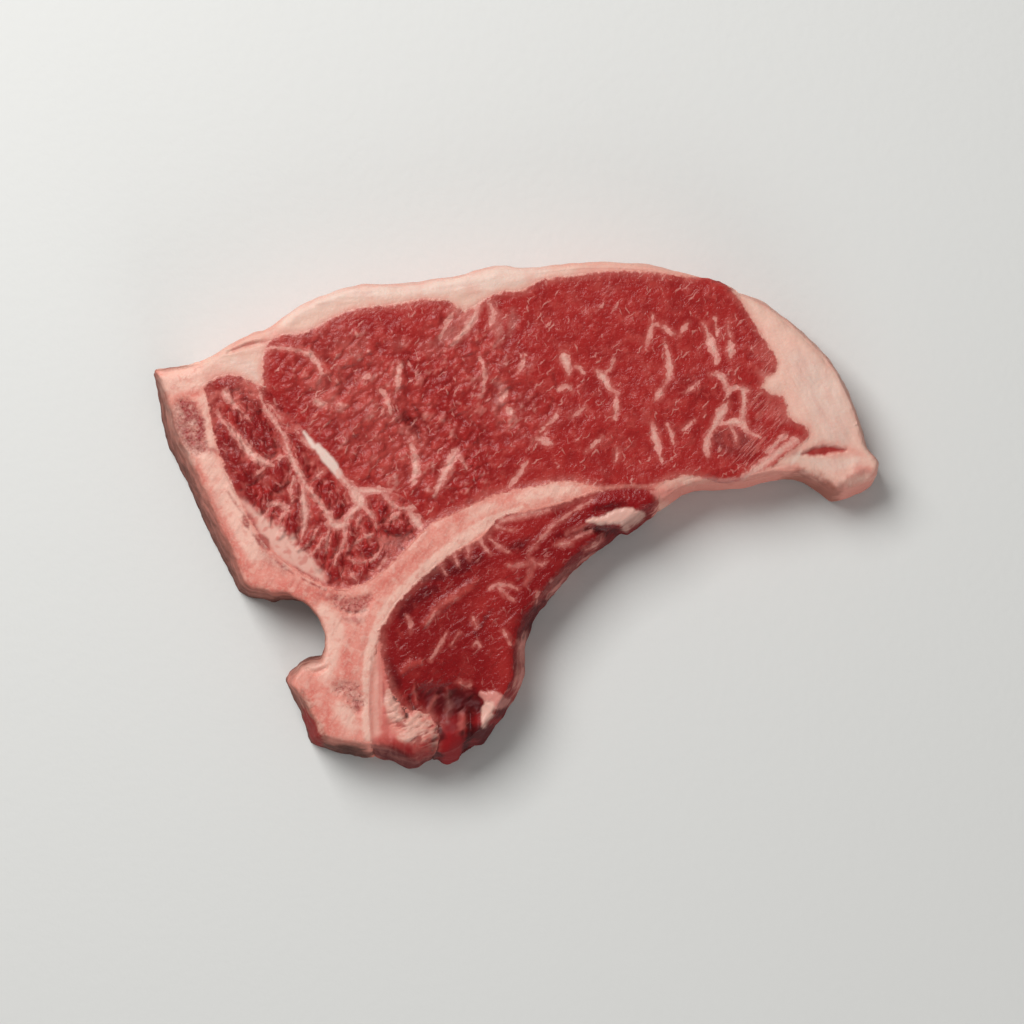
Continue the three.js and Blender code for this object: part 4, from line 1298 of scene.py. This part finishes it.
def sawn_bone(name, colours):
    """Sawn vertebra: pink spongy bone with fine pores, smeared by the saw, and a browner outside."""
    material, tree, place = begin(name)
    paint = put(tree, "ShaderNodeAttribute", "Color", attribute_name="paint")
    outside = put(tree, "ShaderNodeAttribute", "Fac", attribute_name="outside")
    spongy = put(tree, "ShaderNodeAttribute", "Fac", attribute_name="spongy")
    # Most pores are too fine to show, so they are drawn as wide as the largest, 0.8 mm apart.
    pores = put(tree, "ShaderNodeTexVoronoi", "Distance", {"Vector": place, "Scale": 1 / 0.8})
    inputs = {"Value": pores, "From Min": 0.55, "From Max": 0.15}
    pores = put(tree, "ShaderNodeMapRange", 0, inputs, interpolation_type="SMOOTHSTEP")
    cut = put(tree, "ShaderNodeMath", 0, {0: 1.0, 1: outside}, operation="SUBTRACT")
    patches = mottle(tree, place, 3.2, 0.47, 0.66, 4.0)
    spots = mottle(tree, place, 2.0, 0.5, 0.68, 4.0, 0.5)
    smears = streaks(tree, place, SAW_GRAIN, (6, 1.5, 6), 0.45, 0.7, 3.0)
    grit = mottle(tree, place, 0.7, 0.4, 0.7, 2.0)
    open_pores = scaled(tree, pores, spongy, mottle(tree, place, 1.8, 0.35, 0.6))
    base = layered(
        tree,
        paint,
        [
            (scaled(tree, patches, cut, 0.4), colours.bone_pale),
            (scaled(tree, spots, cut, 0.35), colours.blush),
            (scaled(tree, smears, 0.2), colours.stale_and_shade),
            (scaled(tree, grit, cut, 0.25), colours.bone_pale),
            (scaled(tree, open_pores, 0.55), colours.marrow),
        ],
    )
    height = stacked(tree, (open_pores, -0.6), (smears, 0.2), (patches, 0.3), (grit, 0.2))
    roughness = stacked(tree, (outside, 0.4), (1.0, 0.42))
    surface(tree, base, height, 0.2, roughness, shine=0.3, softness=0.1, radius=(1.5, 0.7, 0.5))
    return material


# Operators


class STEAK_OT_strip_loin(bpy.types.Operator):
    """Models the strip loin: the large marbled muscle above the bone"""

    bl_idname = "steak.strip_loin"
    bl_label = "Strip loin"

    def execute(self, context):
        sizes, colours = context.scene.steak_sizes, context.scene.steak_colours
        piece = skin("strip_loin", "strip_loin_muscle", sizes.loin_voxel)
        clay = Clay(piece, "strip_loin", sizes, colours)
        veins = to_strokes(clay.level, STRIP_VEINS)
        clefts = to_strokes(clay.level, STRIP_CLEFTS)
        rough = clay.inside(STRIP_CLUMPS, -6, 4)
        grain = turned(clay.points, degrees=48)
        clumps = cloud(grain, np.array([1.3, 1, 3]) * sizes.clump / MM, 3, 2.0)
        crumbs = cloud(grain, np.array([1.6, 1, 4]) * sizes.crumb / MM, 2, 7.0)
        pebbles = smooth_step(cells(grain, np.array([1.5, 1]) * sizes.clump / MM, 5.0), 0.0, 0.4)
        tendon = clay.inside(TENDON, -0.8, 0.6)
        soft = 1 - 0.9 * tendon
        clay.lift(soft * ((0.14 + 0.5 * rough) * clumps + (0.03 + 0.07 * rough) * crumbs))
        clay.lift(soft * (0.1 + 0.25 * rough) * pebbles)
        clay.lift(-0.7 * smooth_step(-clefts, -0.9, 0.9))
        clay.lift(0.5 * tendon)
        clay.swell(0.3 * cloud(clay.points, 5, 2, 3.0))
        clay.note("vein", veins)
        clay.note("fibre", clay.inside(STRIP_FIBRES, -1.5, 1.5))
        clay.note("lean", 1 - clay.inside(TENDON, -0.4, 0.4))
        clay.shift(STRIP_EDGE, (0.3, 0.6, 0))
        clay.prime()
        # Pale fat with painted highlight on the clumps' crests, and painted shade in the hollows and between
        # the pebbles.
        patchy = smooth_step(cloud(clay.points, 5, 2, 13.0), -0.4, 0.4)
        crests = clumps + 0.6 * crumbs
        clay.blend(clay.paint, "film_and_shade", soft * (0.2 + 0.7 * rough) * patchy * smooth_step(crests, 0.1, 0.5))
        clay.blend(clay.paint, "vein", 0.6 * soft * rough * patchy * smooth_step(crests, 0.4, 0.75))
        clay.blend(clay.paint, "lean_dark_and_shade", soft * (0.25 + 0.3 * rough) * smooth_step(-clumps, 0.05, 0.6))
        clay.blend(clay.paint, "tender_dark_and_shade", soft * (0.08 + 0.15 * rough) * (1 - pebbles))
        # Painted shade low on the open side.
        clay.shade_side("lean_dark_and_shade", 0.5, 0.3)
        clay.set()
        muscle = raw_muscle("raw_strip_loin", colours, grain=52, marbling=1.0)
        fit_out(piece, "strip_loin", muscle)
        return {"FINISHED"}


class STEAK_OT_spinal_muscle(bpy.types.Operator):
    """Models the spinal muscle: coarse bundles between the spine and the process"""

    bl_idname = "steak.spinal_muscle"
    bl_label = "Spinal muscle"

    def execute(self, context):
        sizes, colours = context.scene.steak_sizes, context.scene.steak_colours
        piece = skin("spinal_muscle", "spinal_muscle_flesh", sizes.voxel)
        clay = Clay(piece, "spinal_muscle", sizes, colours)
        veins = to_strokes(clay.level, SPINAL_VEINS)
        bundles = to_strokes(clay.level, SPINAL_BUNDLES)
        wedge = clay.inside(WEDGE, -0.8, 0.6)
        tendon = clay.inside(TENDON, -0.8, 0.6)
        red = 1 - 0.9 * np.maximum(wedge, tendon)
        grain = turned(clay.points, degrees=100)
        crowns = smooth_step(-bundles + 0.4 * clay.wander, -0.5, 1.0)
        clumps = cloud(grain, np.array([2.0, 1.2, 6]) * sizes.crumb / MM, 3, 7.0)
        strands = cells(grain, (6.0, 2.8), 9.0)
        clay.lift(0.9 * crowns - 0.4)
        clay.lift(red * (0.18 * clumps + 0.4 * smooth_step(strands, 0.0, 0.4)))
        clay.lift(0.35 * smooth_step(-veins, -0.5, 0.6) + 0.4 * wedge)
        clay.lift(0.6 * tendon)
        clay.note("vein", veins)
        clay.note("lean", 1 - clay.inside(WEDGE + TENDON, -0.4, 0.4))
        clay.prime()
        patchy = smooth_step(cloud(clay.points, 3, 2, 8.0), -0.2, 0.5)
        clay.blend(clay.paint, "film_and_shade", 0.4 * red * (1 - crowns) * patchy)
        clay.blend(clay.paint, "lean_dark_and_shade", 0.75 * red * crowns)
        # Painted shade in the hollows between clumps, and in the furrows between strands.
        clay.blend(clay.paint, "tender_dark_and_shade", 0.4 * red * smooth_step(-clumps, 0.1, 0.6))
        furrows = 1 - smooth_step(strands, 0.02, 0.3)
        clay.blend(clay.paint, "tender_dark_and_shade", 0.4 * red * (1 - patchy) * furrows)
        clay.blend(clay.paint, "film_and_shade", 0.5 * red * patchy * (1 - smooth_step(strands, 0.02, 0.25)))
        clay.blend(clay.paint, "film_and_shade", 0.6 * wedge * smooth_step(cloud(clay.points, 2.2, 2, 17.0), 0.1, 0.5))
        clay.set()
        muscle = raw_muscle("raw_spinal_muscle", colours, grain=100, marbling=0.7)
        fit_out(piece, "spinal_muscle", muscle)
        return {"FINISHED"}


class STEAK_OT_tenderloin(bpy.types.Operator):
    """Models the tenderloin: the smooth dark muscle below the bone, torn at its end"""

    bl_idname = "steak.tenderloin"
    bl_label = "Tenderloin"

    def execute(self, context):
        sizes, colours = context.scene.steak_sizes, context.scene.steak_colours
        piece = skin("tenderloin", "tenderloin_muscle_flesh", sizes.voxel)
        clay = Clay(piece, "tenderloin", sizes, colours)
        veins = to_strokes(clay.level, TENDERLOIN_VEINS)
        clefts = to_strokes(clay.level, TENDERLOIN_CLEFTS)
        grain = turned(clay.points, degrees=42)
        pocket = clay.inside(TENDERLOIN_POCKET, -2.6, 3.0)
        clay.lift(0.16 * cloud(grain, (5, 1.5, 9), 2, 4.0))
        clay.lift(0.06 * cloud(grain, np.array([4, 1, 8]) * sizes.crumb / MM, 2, 7.0))
        clay.lift(0.5 * clay.inside(TENDERLOIN_RIDGES, -1.2, 0.8))
        clay.lift(-1.2 * pocket * (1 + 0.6 * cloud(grain, (4, 2, 4), 2, 6.0)))
        clay.lift(0.6 * clay.inside(TENDERLOIN_STRANDS, -0.8, 1.0))
        clay.lift(1.4 * clay.inside(TENDERLOIN_LOBES, -2.5, 3.5))
        chunks = to_strokes(clay.level, TENDERLOIN_CHUNKS) + 0.7 * clay.wander
        clay.lift(0.6 * smooth_step(-chunks, -0.6, 1.2))
        clay.lift(-1.8 * smooth_step(-clefts, -1.6, 1.2))
        clay.lift(0.1 * smooth_step(-veins, -0.4, 0.6))
        clay.slope(TENDERLOIN_BROW, 0.6)
        lobes = clay.inside(TENDERLOIN_LOBES, -2.0, 1.0)
        clay.open = np.maximum(clay.open, 0.8 * np.maximum(pocket, lobes))
        clay.swell(0.5 * cloud(clay.points, (4, 4, 7), 2, 3.0))
        clay.swell(-1.8 * smooth_step(-clefts, -2.0, 1.0))
        clay.note("vein", veins)
        clay.note("lean", smooth_step(chunks, -0.4, 0.4) * (1 - 0.8 * np.maximum(pocket, lobes)))
        clay.prime()
        # Painted shade low on the open side.
        clay.shade_side("tender_dark_and_shade", 0.5, 0.4)
        clay.coat(clay.paint, TENDERLOIN_SIDE_COATS, drift=3.0)
        clay.set()
        muscle = raw_muscle("raw_tenderloin", colours, grain=46, marbling=0.35)
        fit_out(piece, "tenderloin", muscle)
        return {"FINISHED"}


class STEAK_OT_fat(bpy.types.Operator):
    """Models the fat cap, the fat tail and the lump of suet"""

    bl_idname = "steak.fat"
    bl_label = "Fat"

    def execute(self, context):
        sizes, colours = context.scene.steak_sizes, context.scene.steak_colours
        kinds = [
            ("fat_cap", "cap_fat", CAP_FOLDS, 8, 0.3),
            ("tail_fat", "tail_fat", TAIL_FURROW, -62, 0.3),
            ("suet", "suet", SUET_CLEFTS, 85, 0.5),
        ]
        for node, slot, folds, strands, lump in kinds:
            piece = skin(node, slot + "_flesh", sizes.voxel)
            clay = Clay(piece, node, sizes, colours)
            creases = to_strokes(clay.level, folds)
            grain = turned(clay.points, strands)
            clay.lift(lump * cloud(clay.points, 7, 2, 1.0))
            clay.lift(0.16 * cloud(grain, (9, 2, 9), 2, 2.0))
            clay.swell(0.4 * cloud(clay.points, (6, 6, 9), 2, 3.0))
            clay.prime()
            # Painted shade low on the open side, pinker and darker.
            clay.shade_side("fat_pink", 0.4, 0.3)
            clay.shade_side("film_and_shade", 0.2, 0.3)
            for strokes, way in FAT_SHIFTS[node]:
                clay.shift(strokes, way)
            if node == "tail_fat":
                clay.slope(TAIL_RIDGE, 1.2)
                clay.coat(clay.paint, TAIL_SHADE, drift=1.5)
            if node == "suet":
                clay.lift(1.5 * clay.inside(SUET_LUMPS, -2.5, 3.0))
                torn = clay.inside(SUET_TORN, -1.5, 1.5)
                shreds = cloud(turned(clay.points, degrees=25), (4.5, 1.3, 6), 3, 6.0)
                clay.points[:, 2] += 0.5 * torn * clay.up * shreds
                clay.blend(clay.paint, "crimson", 0.7 * torn * smooth_step(-shreds, 0.2, 0.6))
                clay.blend(clay.paint, "bone_pale", 0.35 * torn * smooth_step(shreds, 0.0, 0.5))
                # Painted shade low on the open side.
                clay.shade_side("tender_dark_and_shade", 0.6, 0.5)
                clay.coat(clay.paint, SUET_LAST_COATS)
                clay.slope(SUET_BROW, 0.6)
            clay.lift((-1.6 if node == "suet" else -0.8) * smooth_step(-creases, -0.8, 0.6))
            clay.set()
            fit_out(piece, node, cut_fat("beef_" + slot, colours, strands))
        return {"FINISHED"}


class STEAK_OT_bone(bpy.types.Operator):
    """Models the sawn bone: the spine, the process and the halved canal"""

    bl_idname = "steak.bone"
    bl_label = "Bone"

    def execute(self, context):
        sizes, colours = context.scene.steak_sizes, context.scene.steak_colours
        piece = skin("bone", "sawn_bone_body", sizes.voxel, 4)
        clay = Clay(piece, "bone", sizes, colours)
        sponge = clay.inside(BONE_SPONGE, -1.5, 1.0)
        clay.lift(0.15 * cloud(clay.points, 7))
        clay.lift(0.05 * cloud(clay.points, 1.6, 2, 3.0))
        clay.lift(-0.5 * sponge * (1 + 0.6 * cloud(clay.points, 1.3, 2, 6.0)))
        clay.lift(-0.7 * clay.inside(BONE_CREASES, -0.8, 0.6))
        clay.swell(0.4 * cloud(clay.points, (4, 4, 7), 3, 3.0))
        clay.note("spongy", sponge * clay.up)
        clay.prime()
        # The bone's brownish outside, with painted shade that deepens low on the side.
        clay.shade_side("rind_and_shade", 0.85, 0.3)
        clay.shade_side("rind_shade", 0.3, 0.9)
        clay.coat(clay.paint, BONE_SIDE_COATS, drift=1.5)
        clay.set()
        fit_out(piece, "bone", sawn_bone("sawn_vertebra", colours))
        return {"FINISHED"}


class STEAK_OT_stage(bpy.types.Operator):
    """Sets the floor, the camera and the light"""

    bl_idname = "steak.stage"
    bl_label = "Stage"

    def execute(self, context):
        scene = context.scene
        bpy.ops.object.select_all(action="DESELECT")
        bpy.ops.mesh.primitive_plane_add(size=FLOOR_WIDTH)
        floor = context.object
        floor.name = "studio_floor"
        # Matt paint: an even pale grey with the faintest ripple
        material, tree, place = begin("painted_floor")
        ripple = mottle(tree, place, 3.0, 0.3, 0.7)
        pale = (*scene.steak_colours.floor, 1)
        surface(tree, pale, ripple, 0.03, 0.7, shine=0.3, softness=0.0, radius=(1, 1, 1))
        floor.data.materials.append(material)

        camera = bpy.data.cameras.new("eye")
        camera.sensor_width = SENSOR
        camera.lens = SENSOR * EYE_HEIGHT / (IMAGE * PIXEL)
        eye = bpy.data.objects.new("eye", camera)
        eye.location = (EYE[0] * MM, EYE[1] * MM, (TOP + EYE_HEIGHT) * MM)
        scene.collection.objects.link(eye)
        scene.camera = eye

        for name, spot in (("key", KEY_PLACE), ("front", FRONT_PLACE)):
            lamp = bpy.data.lights.new(name, "AREA")
            lamp.energy = getattr(scene.steak_stage, name)
            lamp.size = LAMP_WIDTH
            stand = bpy.data.objects.new(name, lamp)
            stand.location = spot
            stand.rotation_euler = (-stand.location).to_track_quat("-Z", "Y").to_euler()
            scene.collection.objects.link(stand)

        world = bpy.data.worlds.new("studio")
        world.use_nodes = True
        background = world.node_tree.nodes["Background"]
        background.inputs["Color"].default_value = (1, 1, 1, 1)
        background.inputs["Strength"].default_value = scene.steak_stage.fill
        scene.world = world
        scene.view_settings.view_transform = "Standard"
        return {"FINISHED"}


class STEAK_PT_panel(bpy.types.Panel):
    """Lists the steak's pieces"""

    bl_label = "T-bone steak"
    bl_idname = "STEAK_PT_panel"
    bl_space_type = "VIEW_3D"
    bl_region_type = "UI"
    bl_category = "Steak"

    def draw(self, context):
        for operator in OPERATORS:
            self.layout.operator(operator.bl_idname)


OPERATORS = (
    STEAK_OT_bone,
    STEAK_OT_strip_loin,
    STEAK_OT_spinal_muscle,
    STEAK_OT_tenderloin,
    STEAK_OT_fat,
    STEAK_OT_stage,
)
SETTINGS = {"steak_sizes": SteakSizes, "steak_colours": SteakColours, "steak_stage": StageSettings}


def register():
    for kind in (*SETTINGS.values(), *OPERATORS, STEAK_PT_panel):
        bpy.utils.register_class(kind)
    for name, kind in SETTINGS.items():
        setattr(bpy.types.Scene, name, PointerProperty(type=kind))


def unregister():
    for name in SETTINGS:
        delattr(bpy.types.Scene, name)
    for kind in (*SETTINGS.values(), *OPERATORS, STEAK_PT_panel):
        bpy.utils.unregister_class(kind)


def main():
    register()
    bpy.ops.steak.bone()
    bpy.ops.steak.strip_loin()
    bpy.ops.steak.spinal_muscle()
    bpy.ops.steak.tenderloin()
    bpy.ops.steak.fat()
    bpy.ops.steak.stage()


if __name__ == "__main__":
    main()
